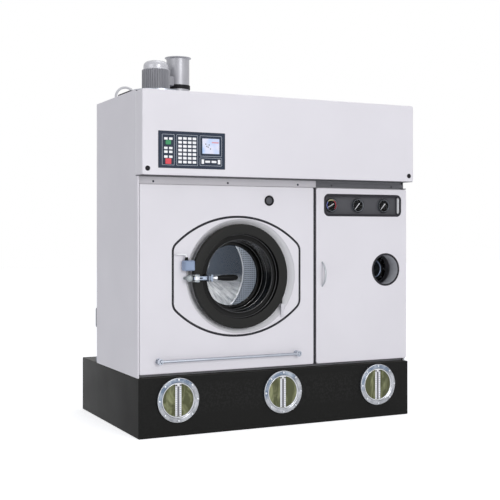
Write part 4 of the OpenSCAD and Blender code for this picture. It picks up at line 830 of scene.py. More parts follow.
def service_door():
    """The door's sheet. The rim of its fold, which is its loops 6 and 7, lies less deep along
    the hinges."""
    outline = round_rect(service_low[0], service_high[0], service_low[2], service_high[2], 0.013)
    stack = folded_stack(outline, panel_y, frame_y, 0.005)
    rim, hinge_edge = slice(6, 8), 0.862
    hinge_side = stack[rim, :, 0] > hinge_edge
    stack[rim, :, 1] = np.where(hinge_side, panel_y + 0.020, frame_y - 0.0005)
    porthole = circle(porthole_x, porthole_z, porthole_r - 0.004)
    parts = skin(stack, [folded_stack(window, panel_y, panel_y + 0.025, 0.004, -1),
                         cut_stack(porthole, panel_y, panel_y + sheet, -1)])
    put("service_door_sheet", parts, "service_door", "white_paint", ["service_door"])


def bead(outline, inner, outer, proud):
    """A rubber ring on the door's face between two growths of an outline, crowned over its width."""
    t = np.linspace(0, 1, 7)
    across = inner + (outer - inner) * np.concatenate([t, [1, 0]])
    depth = np.concatenate([proud * (0.35 + 0.65 * np.sin(np.pi * t) ** 0.5), [0, 0]])
    return sheet_of(np.stack([lift(outline(g), panel_y - d) for g, d in zip(across, depth)]),
                    wrap_rows=True)


def service_trims():
    rim = circle(porthole_x, porthole_z, porthole_r)
    parts = [bead(window, -0.009, 0.005, 0.003), bead(rim, -0.009, 0.003, 0.003)]
    put("window_trims", parts, "service_door", "black_rubber", ["service_door_trims"], rubber_and_gap_shade)
    y0, y1 = panel_y + sheet, panel_y + 0.095
    tube_wall = [(porthole_r - 0.004, y0), (porthole_r + 0.008, y0), (porthole_r + 0.008, y0 + 0.001),
                 (porthole_r - 0.002, y0 + 0.001), (porthole_r - 0.002, y1), (porthole_r - 0.004, y1)]
    put("porthole_collar", [lathe(tube_wall, 0.0006, (porthole_x, 0, porthole_z), steps=96)],
        "service_door", "white_paint", (), collar_paint)
    # The return's block is whiter than the door's paint: painted highlight on its lit face.
    put("window_return", [block((0.8195, panel_y + 0.006, 1.240), (0.8300, panel_y + 0.020, 1.336), 0.002)],
        "service_door", "white_paint", (), white_plastic_and_highlight)


def pull_handle():
    """An arc through both feet, of radius ((l/2)^2 + d^2) / 2d for its length l and depth d."""
    low, high = corners("pull_handle")
    x, middle = (low[0] + high[0]) / 2, (low[2] + high[2]) / 2
    length, depth, r = 0.140, 0.038, 0.0055
    arc_r = ((length / 2) ** 2 + depth ** 2) / (2 * depth)
    reach = math.asin(length / 2 / arc_r)
    a = np.linspace(-reach, reach, 40)
    path = np.stack([np.full(40, x), panel_y - depth + arc_r * (1 - np.cos(a)),
                     middle + arc_r * np.sin(a)], -1)
    bar, faces = tube(path, r * (1 - 0.45 * np.abs(a / reach) ** 3), (1, 0, 0))
    bar[:, 0] = x + (bar[:, 0] - x) * 1.15
    parts = [(bar, faces)]
    for end in (-1, 1):
        foot = [(0, 0), (r + 0.001, 0), (r, -0.002), (0, -0.002)]
        parts.append(lathe(foot, 0.0005, (x, panel_y, middle + end * length / 2), steps=40,
                           closed=False))
    put("bow_handle", parts, "service_door", "polished_steel", ["pull_handle"], handle_steel)


def lintels():
    low, high = corners("lintel_strips")
    edge, split = 0.0008, 0.2515
    left = round_rect(low[0], split, 1.392, 1.432, 0.003)
    right = round_rect(0.253, high[0], 1.398, 1.423, 0.003)
    put("left_lintel", [solid(edge_stack(left, low[1], high[1], edge))], "machine", "white_paint",
        ["lintel_strips"])
    # The right lintel is dark grey: painted shade of the recess above the service door.
    put("right_lintel", [solid(edge_stack(right, low[1], high[1], edge))], "machine", "grey_paint",
        (), recess_shade_grey)


def screws():
    """Domed heads with a round recess, dark over the left panel and grey over the door."""
    heads = [(-0.778, "dark_steel"), (-0.326, "dark_steel"), (0.129, "dark_steel"),
             (0.360, "zinc_steel"), (0.789, "zinc_steel")]
    y = frame_y - sheet
    dome = [(0, -0.0016), (0.0022, -0.0016), (0.0024, -0.0030), (0.0042, -0.0024), (0.006, -0.0008),
            (0.006, 0), (0, 0)]
    for finish in ("dark_steel", "zinc_steel"):
        parts = [lathe(dome, 0.0004, (x, y, 1.406), steps=24, closed=False)
                 for x, kind in heads if kind == finish]
        put("lintel_screws_" + finish, parts, "machine", finish,
            ["panel_screws"] if finish == "zinc_steel" else (),
            finishes["grey_paint"] if finish == "zinc_steel" else None)


def handrail():
    low, high = corners("grab_rail")
    x0, x1, r, boss = low[0] + 0.017, high[0] - 0.017, 0.007, 0.017
    y, z = panel_y - 0.032, 0.417
    path = np.stack([np.linspace(x0, x1, 8), np.full(8, y), np.full(8, z)], -1)
    parts = [tube(path, r + 0.001, (0, 0, 1))]
    face = y - r
    profile = [(0, face + 0.006), (0.010, face + 0.006), (0.0115, face), (boss, face),
               (boss, face + 0.016), (0.012, face + 0.019), (0.012, panel_y - 0.004),
               (boss, panel_y - 0.004), (boss, panel_y), (0, panel_y)]
    parts += [lathe(profile, 0.0012, (x, 0, z), steps=48, closed=False) for x in (x0, x1)]
    put("handrail_bar", parts, "machine", "brushed_steel", ["grab_rail"])


def caps():
    y = header_low[1]
    cap_profile = [(0, y - 0.001), (0.008, y - 0.001), (0.010, y - 0.002), (0.014, y - 0.0014),
                   (0.014, y), (0, y)]
    parts = [lathe(cap_profile, 0.0004, (x, 0, 1.470), steps=48, closed=False)
             for x in (-0.849, 0.847)]
    ring = [(0.020, panel_y), (0.020, panel_y - 0.0035), (0.024, panel_y - 0.006),
            (0.030, panel_y - 0.004), (0.030, panel_y)]
    parts.append(lathe(ring, 0.0012, (plug_x, 0, plug_z), steps=64))
    put("caps_and_plug_ring", parts, "machine", "black_rubber", ["round_caps"])
    dome = [(0, panel_y - 0.0052), (0.010, panel_y - 0.0045), (0.0205, panel_y - 0.0018),
            (0.0205, panel_y + 0.001), (0, panel_y + 0.001)]
    put("plug_centre", [lathe(dome, 0.003, (plug_x, 0, plug_z), steps=48, closed=False)],
        "machine", "grey_paint")


def base_tank():
    low, high = tank_low, tank_high
    outline = round_rect(low[0], high[0], low[2], high[2], 0.006)
    sights = [edge_pocket(circle(x, sight_z, 0.090), low[1], 0.040) for x in sight_x]
    put("tank_plates", skin(edge_stack(outline, low[1], high[1], 0.004), pockets=sights),
        "machine", "black_paint", ["base_tank"])


def edge_pocket(outline, y, depth):
    """Loops of a blind hole in a face at y."""
    return np.stack([lift(outline(g), d) for g, d in
                     ((0.001, y), (0, y + 0.001), (0, y + depth), (-0.001, y + depth))])


# ---------- Header controls ----------

def slab(x0, x1, z0, z1, y_back, thick, r=0.002, edge=0.0006):
    """A thin plate with round corners in front of the plane y_back."""
    return solid(edge_stack(round_rect(x0, x1, z0, z1, r), y_back - thick, y_back, edge))


def line_box(x0, x1, z0, z1, y, wide=0.0018, proud=0.00025):
    """A thin printed line along a rectangle with round corners."""
    outline = round_rect(x0, x1, z0, z1, 0.004, 5)
    rows = [(0, 0), (0, -proud), (-wide, -proud), (-wide, 0)]
    return sheet_of(np.stack([lift(outline(g), y + d) for g, d in rows]), wrap_rows=True)


def controls():
    low, high = corners("control_panel")
    x0, z0 = low[0], low[2]
    face = low[1]
    holes = [circle(x0 + 0.0575, z0 + 0.140, 0.0121, 40), circle(x0 + 0.0575, z0 + 0.037, 0.0151, 40)]
    outline = round_rect(low[0], high[0], low[2], high[2], 0.003)
    back = header_low[1]
    holes.append(round_rect(x0 + 0.256, x0 + 0.365, z0 + 0.082, z0 + 0.172, 0.001))
    put("control_face", skin(edge_stack(outline, face, back, 0.0005),
                             [edge_hole(hole, face, back) for hole in holes]),
        "machine", "slate_plastic", ["control_panel"])
    boxes = [(0.022, 0.094, 0.016, 0.184), (0.106, 0.232, 0.016, 0.184),
             (0.244, 0.377, 0.070, 0.184), (0.244, 0.377, 0.018, 0.062)]
    put("control_outlines", [line_box(x0 + a, x0 + b, z0 + c, z0 + d, face) for a, b, c, d in boxes],
        "machine", "slate_plastic", (), outline_ink)


def edge_hole(outline, y0, y1):
    """Loops of a hole's side from y0 to y1."""
    return np.stack([lift(outline(g), y) for g, y in ((0.0003, y0), (0, y0 + 0.0003), (0, y1))])


def keys():
    """The membrane's keys: a field of 4 by 7, two columns of 4, and a row under the display."""
    x0, face, z0 = corners("control_panel")[0]
    places = [(0.127 + i * 0.0282, 0.035 + j * 0.0215, 0.021, 0.014)
              for i in range(4) for j in range(7)]
    places += [(x, z, 0.020, 0.0130) for x in (0.044, 0.0725) for z in (0.0615, 0.088, 0.1085, 0.160)]
    places += [(0.262, 0.041, 0.015, 0.025), (0.291, 0.041, 0.029, 0.012),
               (0.3295, 0.041, 0.029, 0.012), (0.360, 0.041, 0.015, 0.025)]
    parts = [slab(x0 + x - w / 2, x0 + x + w / 2, z0 + z - h / 2, z0 + z + h / 2, face, 0.0006, 0.0016,
                  0.0003) for x, z, w, h in places]
    put("membrane_keys", parts, "machine", "white_plastic", ["keypad"], white_plastic_and_highlight)


def display():
    """The display's lit face, its frame, five dots and a bar."""
    x0, face, z0 = corners("control_panel")[0] + (0.256, 0, 0.082)
    wide, tall = 0.109, 0.090
    put("display_face", [slab(x0 + 0.0005, x0 + wide - 0.0005, z0 + 0.0005, z0 + tall - 0.0005,
                              face + 0.0004, 0.0004, 0.001, 0.0001)],
        "machine", "display_panel", ["display"])
    rim = round_rect(x0 - 0.008, x0 + wide + 0.008, z0 - 0.008, z0 + tall + 0.008, 0.005)
    view = round_rect(x0 + 0.003, x0 + wide - 0.003, z0 + 0.003, z0 + tall - 0.003, 0.002)
    put("display_frame", skin(edge_stack(rim, face - 0.0006, face, 0.0002),
                              [edge_hole(view, face - 0.0006, face)]),
        "machine", "slate_plastic")
    dots = [(0.024, 0.056), (0.044, 0.052), (0.038, 0.040), (0.052, 0.030), (0.030, 0.044)]
    marks = [turned([(0, 0.00025), (0.0034, 0.00025), (0.0034, 0), (0, 0)],
                    (x0 + x, face - 0.00025, z0 + z), steps=16, closed=False) for x, z in dots]
    put("display_dots", marks, "machine", "grey_paint")
    bar = slab(x0 + 0.060, x0 + 0.102, z0 + 0.0625, z0 + 0.0690, face, 0.0002, 0.001, 0.00005)
    put("display_bar", [bar], "machine", "red_plastic", (), bar_red)


def buttons():
    """Each button is a wide cap on a round stem that goes through the panel."""
    low, face = corners("control_panel")[0], corners("start_button")[0][1]
    back = header_low[1] + 0.010
    for name, z, r, wide, tall, finish in (
            ("start_button", 0.140, 0.012, 0.031, 0.0242, "green_plastic"),
            ("stop_button", 0.037, 0.015, 0.034, 0.0302, "red_plastic")):
        x, z = low[0] + 0.0575, low[2] + z
        stem = [(0, face + 0.0001), (r - 0.0001, face + 0.0001), (r - 0.0001, back), (0, back)]
        cap_plate = slab(x - wide / 2, x + wide / 2, z - tall / 2, z + tall / 2, face + 0.0004,
                         0.0004, 0.004, 0.00018)
        put(name.split("_")[0] + "_cap",
            [lathe(stem, 0.0003, (x, 0, z), steps=48, closed=False), cap_plate], name, finish, [name])


# ---------- Loading door ----------

def door_ring():
    bead_r = 0.0022
    profile = [(0.241, 0), (0.2925, 0), (0.2975, 0.005), (0.2975, 0.022), (0.2895, 0.022),
               (0.2895, 0.008), (0.249, 0.008), (0.249, 0.036), (0.213, 0.036), (0.204, 0.155),
               (0.188, 0.155), (0.188, 0.150), (0.196, 0.150), (0.205, 0.029), (0.207, 0.0255),
               (0.2085, 0.0255), (0.210, 0.028), (0.234, 0.028), (0.236, 0.0255), (0.2385, 0.0255),
               (0.241, 0.022)]
    parts = [lathe(profile, bead_r, (door_x, ring_y, door_z), steps=160)]
    for z in (door_z - 0.165, door_z + 0.070):
        parts.append(block((hinge_x - 0.034, ring_y + 0.007, z),
                           (hinge_x - 0.024, hinge_y + 0.005, z + 0.030)))
        parts.append(block((hinge_x - 0.025, hinge_y - 0.005, z),
                           (hinge_x - 0.005, hinge_y + 0.005, z + 0.030)))
        barrel = [(0.00605, 0), (0.009, 0), (0.009, 0.030), (0.00605, 0.030)]
        parts.append(lathe(barrel, 0.0006, (hinge_x, hinge_y, z), "z", 40))
    put("ring_casting", parts, "loading_door", "black_casting", ["door_ring"])


def door_lining():
    """Glossy liner of the bowl: the slope between the step and the glazing rubber, with faint
    ribs that run towards the glass, radius + height * |cos(k a)|^n."""
    steps, ribs, rib_h = 288, 36, 0.0008
    a = np.linspace(0, 2 * np.pi, steps, endpoint=False)
    s = np.linspace(0, 1, 9)[:, None]
    lead = np.sin(np.pi * s) ** 0.5
    r = 0.2046 - 0.0090 * s - 0.0006 - rib_h * lead * np.abs(np.cos(ribs * a / 2)) ** 6
    y = ring_y + 0.031 + 0.1175 * s + 0 * a
    inner = np.stack([door_x + r * np.cos(a), y, door_z + r * np.sin(a)], -1)
    back = np.stack([door_x + (r + 0.0009) * np.cos(a), y, door_z + (r + 0.0009) * np.sin(a)], -1)
    step = [(0.2392, 0.001), (0.2408, 0.001), (0.2408, 0.0278), (0.2395, 0.0278), (0.2392, 0.0275),
            (0.2392, 0.0272)]
    floor = [(0.2095, 0.0278), (0.2345, 0.0278), (0.2345, 0.0274), (0.2095, 0.0274)]
    put("bowl_lining", [sheet_of(np.concatenate([inner, back[::-1]]), wrap_rows=True),
                        lathe(step, 0.0003, (door_x, ring_y, door_z), steps=128),
                        lathe(floor, 0.0002, (door_x, ring_y, door_z), steps=128)],
        "loading_door", "black_casting", (), gloss_black)
    # The beads are lighter than the casting: painted highlights along the bowl's ridges.
    round_bead = 0.0019 * np.stack([np.cos(a[::24]), np.sin(a[::24])], -1)
    beads = [turned(round_bead + place, (door_x, ring_y, door_z), steps=128)
             for place in ((0.2372, 0.0250), (0.2076, 0.0250), (0.1995, 0.0800), (0.1955, 0.1300))]
    put("bowl_beads", beads, "loading_door", "black_casting", (), bead_highlight_grey)


def glazing():
    y = ring_y + 0.146
    rubber = [(0.174, 0), (0.177, -0.003), (0.192, -0.003), (0.1955, 0), (0.1955, 0.004),
              (0.188, 0.004), (0.188, 0.009), (0.198, 0.009), (0.198, 0.017), (0.174, 0.017),
              (0.174, 0.011), (0.182, 0.011), (0.182, 0.003), (0.174, 0.003)]
    put("glazing_rubber", [lathe(rubber, 0.0012, (door_x, y, door_z), steps=128)],
        "loading_door", "black_rubber", ["door_gasket"], gloss_black)
    pane = [(0, 0.003), (0.182, 0.003), (0.182, 0.011), (0, 0.011)]
    put("door_pane", [lathe(pane, 0.0008, (door_x, y, door_z), steps=128, closed=False)],
        "loading_door", "door_glass", ["door_glass"])


def latch():
    x, y, z = door_x - 0.2835, ring_y - 0.027, door_z - 0.005
    block_hh = 0.0205
    ears = []
    for side in (-1, 1):
        z0 = z + side * (block_hh - 0.004) - 0.004
        ears.append(block((x - 0.0195, y - 0.010, z0), (x + 0.0105, ring_y + 0.001, z0 + 0.008), 0.0015))
    put("latch_ears", ears, "loading_door", "polished_steel", (), keeper_grey)
    hub = block_hh - 0.0085
    barrel = [(0.00505, -hub), (0.012, -hub), (0.012, hub), (0.00505, hub)]
    rods = [tube(np.stack([np.linspace(x + 0.006, x + 0.085, 6), np.full(6, y), np.full(6, z + d)], -1),
                 0.005, (0, 0, 1)) for d in (-0.0065, 0.0065)]
    ferrule = [(0, 0.092), (0.008, 0.092), (0.0072, 0.098), (0.0100, 0.112), (0.0110, 0.118), (0, 0.118)]
    lever = [lathe(barrel, 0.001, (x, y, z), "z", 40),
             block((x - 0.024, y - 0.008, z - 0.008), (x - 0.010, y + 0.008, z + 0.008), 0.002),
             *rods,
             block((x + 0.030, y - 0.004, z - 0.010), (x + 0.079, y + 0.004, z + 0.010), 0.002),
             block((x + 0.079, y - 0.009, z - 0.019), (x + 0.092, y + 0.009, z + 0.019), 0.002)]
    put("lever_arm", lever, "latch", "polished_steel", ["latch_lever"], lever_steel)
    hub_block = block((x - 0.0185, y - 0.012, z - 0.0115), (x + 0.0100, y + 0.010, z + 0.0115), 0.003)
    put("lever_hub", [hub_block, lathe(ferrule, 0.001, (x, y, z), "x", 48, False)], "latch",
        "polished_steel", (), bright_steel_and_highlight)
    nut = [(0, -0.019), (0.008, -0.019), (0.008, 0.019), (0, 0.019)]
    put("lever_nuts", [lathe(nut, 0.001, (x + 0.062, y, z), "z", 6, False)], "latch", "dark_steel",
        (), None, 20)
    grip = [(0, 0), (0.0095, 0), (0.0115, 0.006), (0.0158, 0.035), (0.018, 0.070), (0.0178, 0.100),
            (0.0145, 0.119), (0.008, 0.128), (0, 0.129)]
    put("lever_grip", [lathe(grip, 0.02, (x + 0.118, y, z), "x", 64, False, 8)], "latch",
        "black_plastic", ["latch_grip"])


def keeper():
    """A domed post: its front is rounded over, and its stem leads to a foot on the surround."""
    x, y, z = door_x - 0.3285, ring_y - 0.027, door_z - 0.005
    head = [(0, -0.008), (0.012, -0.0075), (0.0185, -0.001), (0.0185, 0.012), (0.0125, 0.013),
            (0.0125, panel_y - y), (0, panel_y - y)]
    foot = [(0, -0.003), (0.0075, -0.003), (0.0085, 0), (0, 0)]
    parts = [lathe(head, 0.003, (x, y, z), steps=56, closed=False),
             lathe(foot, 0.001, (x - 0.014, panel_y, z), steps=40, closed=False)]
    put("keeper_post", parts, "machine", "zinc_steel", ["latch_keeper"], keeper_grey)


def lock():
    x0, z0 = door_x - 0.360, door_z + 0.037
    y0 = panel_y - 0.049
    wide, tall, deep = 0.062, 0.057, 0.046
    case = solid(edge_stack(round_rect(x0, x0 + wide, z0, z0 + tall, 0.008), y0, y0 + deep, 0.004))
    foot = block((x0 + 0.004, panel_y - 0.003, z0 + 0.012), (x0 + 0.016, panel_y, z0 + tall - 0.012))
    lid = line_box(x0 + 0.004, x0 + wide - 0.004, z0 + 0.004, z0 + tall - 0.004, y0, 0.0012, 0.0003)
    put("lock_case", [case, foot, lid], "machine", "blue_plastic", ["lock_box"])
    gland = [(0, 0), (0.0108, 0), (0.0108, 0.007), (0.009, 0.008), (0.009, 0.016), (0.0062, 0.018),
             (0, 0.018)]
    put("lock_gland", [lathe(gland, 0.0008, (x0 + 0.021, panel_y - 0.026, z0 + tall), "z", 32, False)],
        "machine", "black_plastic")


def lock_cable():
    """Straight runs and two quarter bends, as points at a steady step, carried by a frame that
    turns with them."""
    x, y = door_x - 0.339, panel_y - 0.026
    hole_x, hole_z = door_x - 0.395, door_z + 0.128
    bend = 0.012
    t = np.linspace(0, np.pi / 2, 9)
    up = np.stack([np.full(4, x), np.full(4, y), np.linspace(door_z + 0.106, hole_z - bend - 0.001, 4)], -1)
    over = np.stack([x - bend + bend * np.cos(t), y + 0 * t, hole_z - bend + bend * np.sin(t)], -1)
    back = np.stack([hole_x + bend - bend * np.sin(t), y + bend - bend * np.cos(t), hole_z + 0 * t], -1)
    into = np.stack([np.full(3, hole_x), np.linspace(y + bend + 0.001, panel_y + 0.018, 3),
                     np.full(3, hole_z)], -1)
    put("lock_lead", [tube(np.concatenate([up, over]), 0.0045, (0, 1, 0), 16),
                      tube(np.concatenate([over[-1:], back, into]), 0.0045, (0, 0, 1), 16)],
        "machine", "white_plastic", ["lock_cable"])


# ---------- Sight glasses and gauges ----------

def sight_flanges():
    """Each sight has a turned ring with two bright lips, a pane and eight bolts."""
    face, bolts_r = 0.016, 0.113
    places = [(x, tank_low[1], sight_z) for x in sight_x]
    ring = [(0.097, -0.0115), (0.0985, -0.014), (0.102, -0.0155), (0.119, -0.016), (0.123, -0.012),
            (0.123, 0), (0.097, 0)]
    put("sight_rings", [lathe(ring, 0.0015, p, steps=112) for p in places], "machine",
        "polished_steel", ["sight_flanges"], flange_chrome)
    # The lips are near-white: painted highlights along the rings' edges.
    lip = [(0.0905, -0.0095), (0.0925, -0.0125), (0.0945, -0.0135), (0.0965, -0.0125), (0.0969, -0.0085),
           (0.0905, -0.0085)]
    edge = [(0.1195, -0.0163), (0.1205, -0.0172), (0.1218, -0.0155), (0.1232, -0.0125), (0.1222, -0.012)]
    put("sight_lips", [lathe(r, 0.0006, p, steps=112) for p in places for r in (lip, edge)], "machine",
        "polished_steel", (), bright_steel_and_highlight)
    pane = [(0, -0.008), (0.097, -0.008), (0.097, 0), (0, 0)]
    put("tank_glasses", [lathe(pane, 0.0006, p, steps=96, closed=False) for p in places],
        "machine", "sight_glass", ["sight_glasses"])
    heads = bolt_circle([(x, y - face, z) for x, y, z in places], bolts_r, 0.0105)
    put("bolt_heads", heads, "machine", "zinc_steel", ["flange_bolts"], None, 25)


def still_bolts():
    """The bolts of the still's cover, behind the porthole."""
    heads = bolt_circle([(porthole_x, still_y, porthole_z)], 0.074, 0.0125)
    put("still_bolt_heads", heads, "machine", "dark_steel", (), still_black, 25)


def level_strips():
    """Two white bars joined at their top, with a row of printed dots along each bar."""
    y = tank_low[1] - 0.008
    bars, dots, slots = [], [], []
    for x in sight_x:
        for side in (-1, 1):
            mid = x + side * 0.0122
            bars.append(slab(mid - 0.006, mid + 0.006, 0.112, 0.288, y, 0.003, 0.002, 0.0012))
            dots += [slab(mid - 0.0042, mid + 0.0042, z - 0.0016, z + 0.0016, y - 0.003, 0.0002, 0.0008,
                          0.00006) for z in np.arange(0.120, 0.274, 0.0115)]
        bars.append(slab(x - 0.0182, x + 0.0182, 0.277, 0.291, y, 0.003, 0.002, 0.0012))
        # The slot plate is dark grey: painted shade in the gap between the bars.
        slots.append(slab(x - 0.0062, x + 0.0062, 0.113, 0.280, y, 0.0014, 0.0005, 0.0004))
    put("level_bars", bars, "machine", "white_plastic", ["level_strips"], white_plastic_and_highlight)
    put("level_dots", dots, "machine", "grey_paint", (), outline_ink)
    put("level_slots", slots, "machine", "slate_plastic", (), recess_shade_grey)


def arc_band(x, y, z, r0, r1, start, end, proud=0.0003, steps=24):
    """A flat band between two radii; angles run clockwise from straight up, in degrees."""
    a = np.radians(np.linspace(start, end, steps))
    rows = [(r0, 0), (r1, 0), (r1, -proud), (r0, -proud)]
    points = np.stack([np.stack([x + r * np.sin(a), np.full(steps, y + d), z + r * np.cos(a)], -1)
                       for r, d in rows])
    verts, quads = sheet_of(points, wrap_rows=True, wrap_cols=False)
    ends = [[k * steps for k in range(4)], [k * steps + steps - 1 for k in range(4)][::-1]]
    return verts, [*quads.tolist(), *ends]


def gauges():
    """Each gauge has a bezel, a cup, seven ticks and a pane; the left one has colour bands."""
    y, z, half_tick = corners("gauge_cases")[0][1], gauge_z, 1.8
    case = [(0, 0.0092), (0.037, 0.0092), (0.037, 0.002), (0.0385, 0), (0.041, 0), (0.042, 0.002),
            (0.042, 0.015), (0.036, 0.015), (0.036, 0.060), (0, 0.060)]
    put("gauge_bezels", [lathe([(0.0345, 0.0085), (0.0350, 0.003), (0.0372, 0), (0.0405, 0),
                                (0.0422, 0.003), (0.0422, 0.0145), (0.0345, 0.0145)], 0.0006,
                               (x, y, z), steps=72) for x in gauge_x],
        "machine", "zinc_steel", (), bezel_grey)
    put("gauge_cups", [lathe(case, 0.0005, (x, y, z), steps=72, closed=False) for x in gauge_x],
        "machine", "black_plastic", ["gauge_cases"])
    ticks = [arc_band(x, y + 0.009, z, 0.027, 0.031, angle - half_tick, angle + half_tick, steps=2)
             for x in gauge_x for angle in range(-135, 136, 45)]
    put("gauge_ticks", ticks, "machine", "white_plastic", (), tick_grey)
    for name, start, end, ink, code in (("cold_band", -135, -50, "blue_band", "7f86ea"),
                                        ("warm_band", -44, 30, "yellow_band", "c9c08a"),
                                        ("hot_band", 36, 135, "red_band", "b02c38")):
        put(name, [arc_band(gauge_x[0], y + 0.0086, z, 0.0285, 0.0345, start, end)], "machine",
            "black_plastic", (), moulded(ink, code, 0.4))
    pane = [(0, 0.004), (0.0349, 0.004), (0.0349, 0.006), (0, 0.006)]
    put("gauge_panes", [lathe(pane, 0.0004, (x, y, z), steps=48, closed=False) for x in gauge_x],
        "machine", "door_glass", (), dial_glass)


def still_cover():
    """The still's pane in its black ring, with a bluish ring in front of it that is a painted reflection: a
    glint on the pane.
    """
    place = (porthole_x, still_y, porthole_z)
    pane = [(0, 0.008), (0.064, 0.008), (0.064, 0.014), (0, 0.014)]
    put("still_pane", [lathe(pane, 0.0005, place, steps=64, closed=False)], "machine", "door_glass")
    ring = [(0.059, 0.003), (0.062, 0), (0.085, 0), (0.085, 0.014), (0.064, 0.014), (0.064, 0.008),
            (0.059, 0.008)]
    put("still_ring", [lathe(ring, 0.0012, place, steps=96)], "machine",
        "black_casting", ["still_cover"], gloss_black)
    glint = [(0.050, 0.0062), (0.056, 0.0032), (0.0572, 0.0044), (0.0512, 0.0070)]
    put("still_glint_ring", [lathe(glint, 0.0005, place, steps=96)], "machine",
        "polished_steel", (), still_glint)


# ---------- Roof and rear ----------

def fan_motor():
    low, high = corners("fan_motor")
    x, y = -0.588, 0.014
    base, top = low[2], high[2]
    full, body_h = top - base, top - base - 0.057
    fins, fin_r, core_r = 36, 0.084, 0.076
    steps = fins * 8
    a = np.linspace(0, 2 * np.pi, steps, endpoint=False)
    ridge = np.clip(np.cos(fins * a) * 2.2, -1, 1) * 0.5 + 0.5
    r = core_r + (fin_r - core_r) * ridge
    rows = [(0, 0 * r), (0, r), (body_h - 0.002, r), (body_h, r - 0.001), (body_h, 0 * r)]
    finned = np.stack([np.stack([x + q * np.cos(a), y + q * np.sin(a),
                                 np.full(steps, base + 0.004 + h * (1 - 0.004 / body_h))], -1)
                       for h, q in rows])
    cap_profile = [(0, full), (0.035, full - 0.0005), (0.057, full - 0.006), (0.070, full - 0.017),
                   (0.075, full - 0.031), (0.075, body_h + 0.007), (0.0765, body_h + 0.005),
                   (0.0765, body_h), (0, body_h)]
    foot = [(0.0125, 0), (0.085, 0), (0.085, 0.008), (0.0125, 0.008)]
    box_z = base + body_h - 0.088
    put("fan_motor_cap", [lathe(cap_profile, 0.006, (x, y, base), "z", 96, False)], "machine",
        "motor_paint", (), cap_paint)
    parts = [sheet_of(finned), lathe(foot, 0.001, (x, y, base), "z", 96),
             block((x + 0.070, y - 0.028, box_z), (x + 0.107, y + 0.028, box_z + 0.055), 0.004)]
    put("fan_motor_body", parts, "machine", "motor_paint", ["fan_motor"])


def exhaust_duct():
    low, high = corners("exhaust_duct")
    centre = ((low[0] + high[0]) / 2, (low[1] + high[1]) / 2, low[2])
    full = high[2] - low[2]
    wall = [(0.0685, 0), (0.0755, 0), (0.0755, 0.006), (0.0705, 0.007), (0.0705, full - 0.012),
            (0.0745, full - 0.0075), (0.081, full - 0.004), (0.081, full), (0.076, full),
            (0.0685, full - 0.008)]
    put("duct_pipe", [lathe(wall, 0.0015, centre, "z", 128)], "machine", "brushed_steel",
        ["exhaust_duct"], duct_paint)
    clamp_z = high[2] - 0.196
    clamp = [(0.0706, 0), (0.0750, 0.0005), (0.0750, 0.0245), (0.0706, 0.025)]
    put("duct_clamp", [lathe(clamp, 0.0008, (*centre[:2], clamp_z), "z", 96)], "machine",
        "black_rubber")


def roof_hose():
    """Legs and a half circle between them."""
    x, y, roof = -0.800, -0.050, header_high[2] + 0.005
    bend, leg, r = 0.060, 0.008, 0.007
    a = np.linspace(0, np.pi, 33)
    arch = np.stack([x + bend * np.cos(a), y + 0 * a, roof + leg + bend * np.sin(a)], -1)
    legs = [np.array([[x + s * bend, y, roof - 0.030], [x + s * bend, y, roof + leg - 0.001]])
            for s in (1, -1)]
    path = np.concatenate([legs[0], arch, legs[1][::-1]])
    put("roof_hose_tube", [tube(path, r, (0, 1, 0), 20)], "machine", "grey_plastic", ["roof_hose"])
    nut = [(0.0072, -0.012), (0.0125, -0.012), (0.0125, 0.012), (0.0072, 0.012)]
    put("hose_fitting", [lathe(nut, 0.001, (x + bend, y, roof + leg + 0.012), "z", 12)], "machine",
        "grey_casting", (), collar_paint, 20)
    strip = block((-0.872, -0.324, roof - 0.006), (-0.850, -0.124, roof + 0.012), 0.003)
    put("roof_edge_strip", [strip], "machine", "black_rubber", (), rubber_and_gap_shade)


def pump_motor():
    low, high = corners("pump_motor")
    centre = ((low[0] + high[0]) / 2, (low[1] + high[1]) / 2, low[2])
    profile = [(0, 0), (0.046, 0), (0.052, 0.006), (0.052, 0.100), (0.0505, 0.102), (0.052, 0.104),
               (0.052, 0.112), (0.044, 0.126), (0.026, 0.134), (0, 0.134)]
    put("pump_motor_body", [lathe(profile, 0.003, centre, "z", 96, False)], "machine",
        "motor_paint", ["pump_motor"])


# ---------- Drum ----------

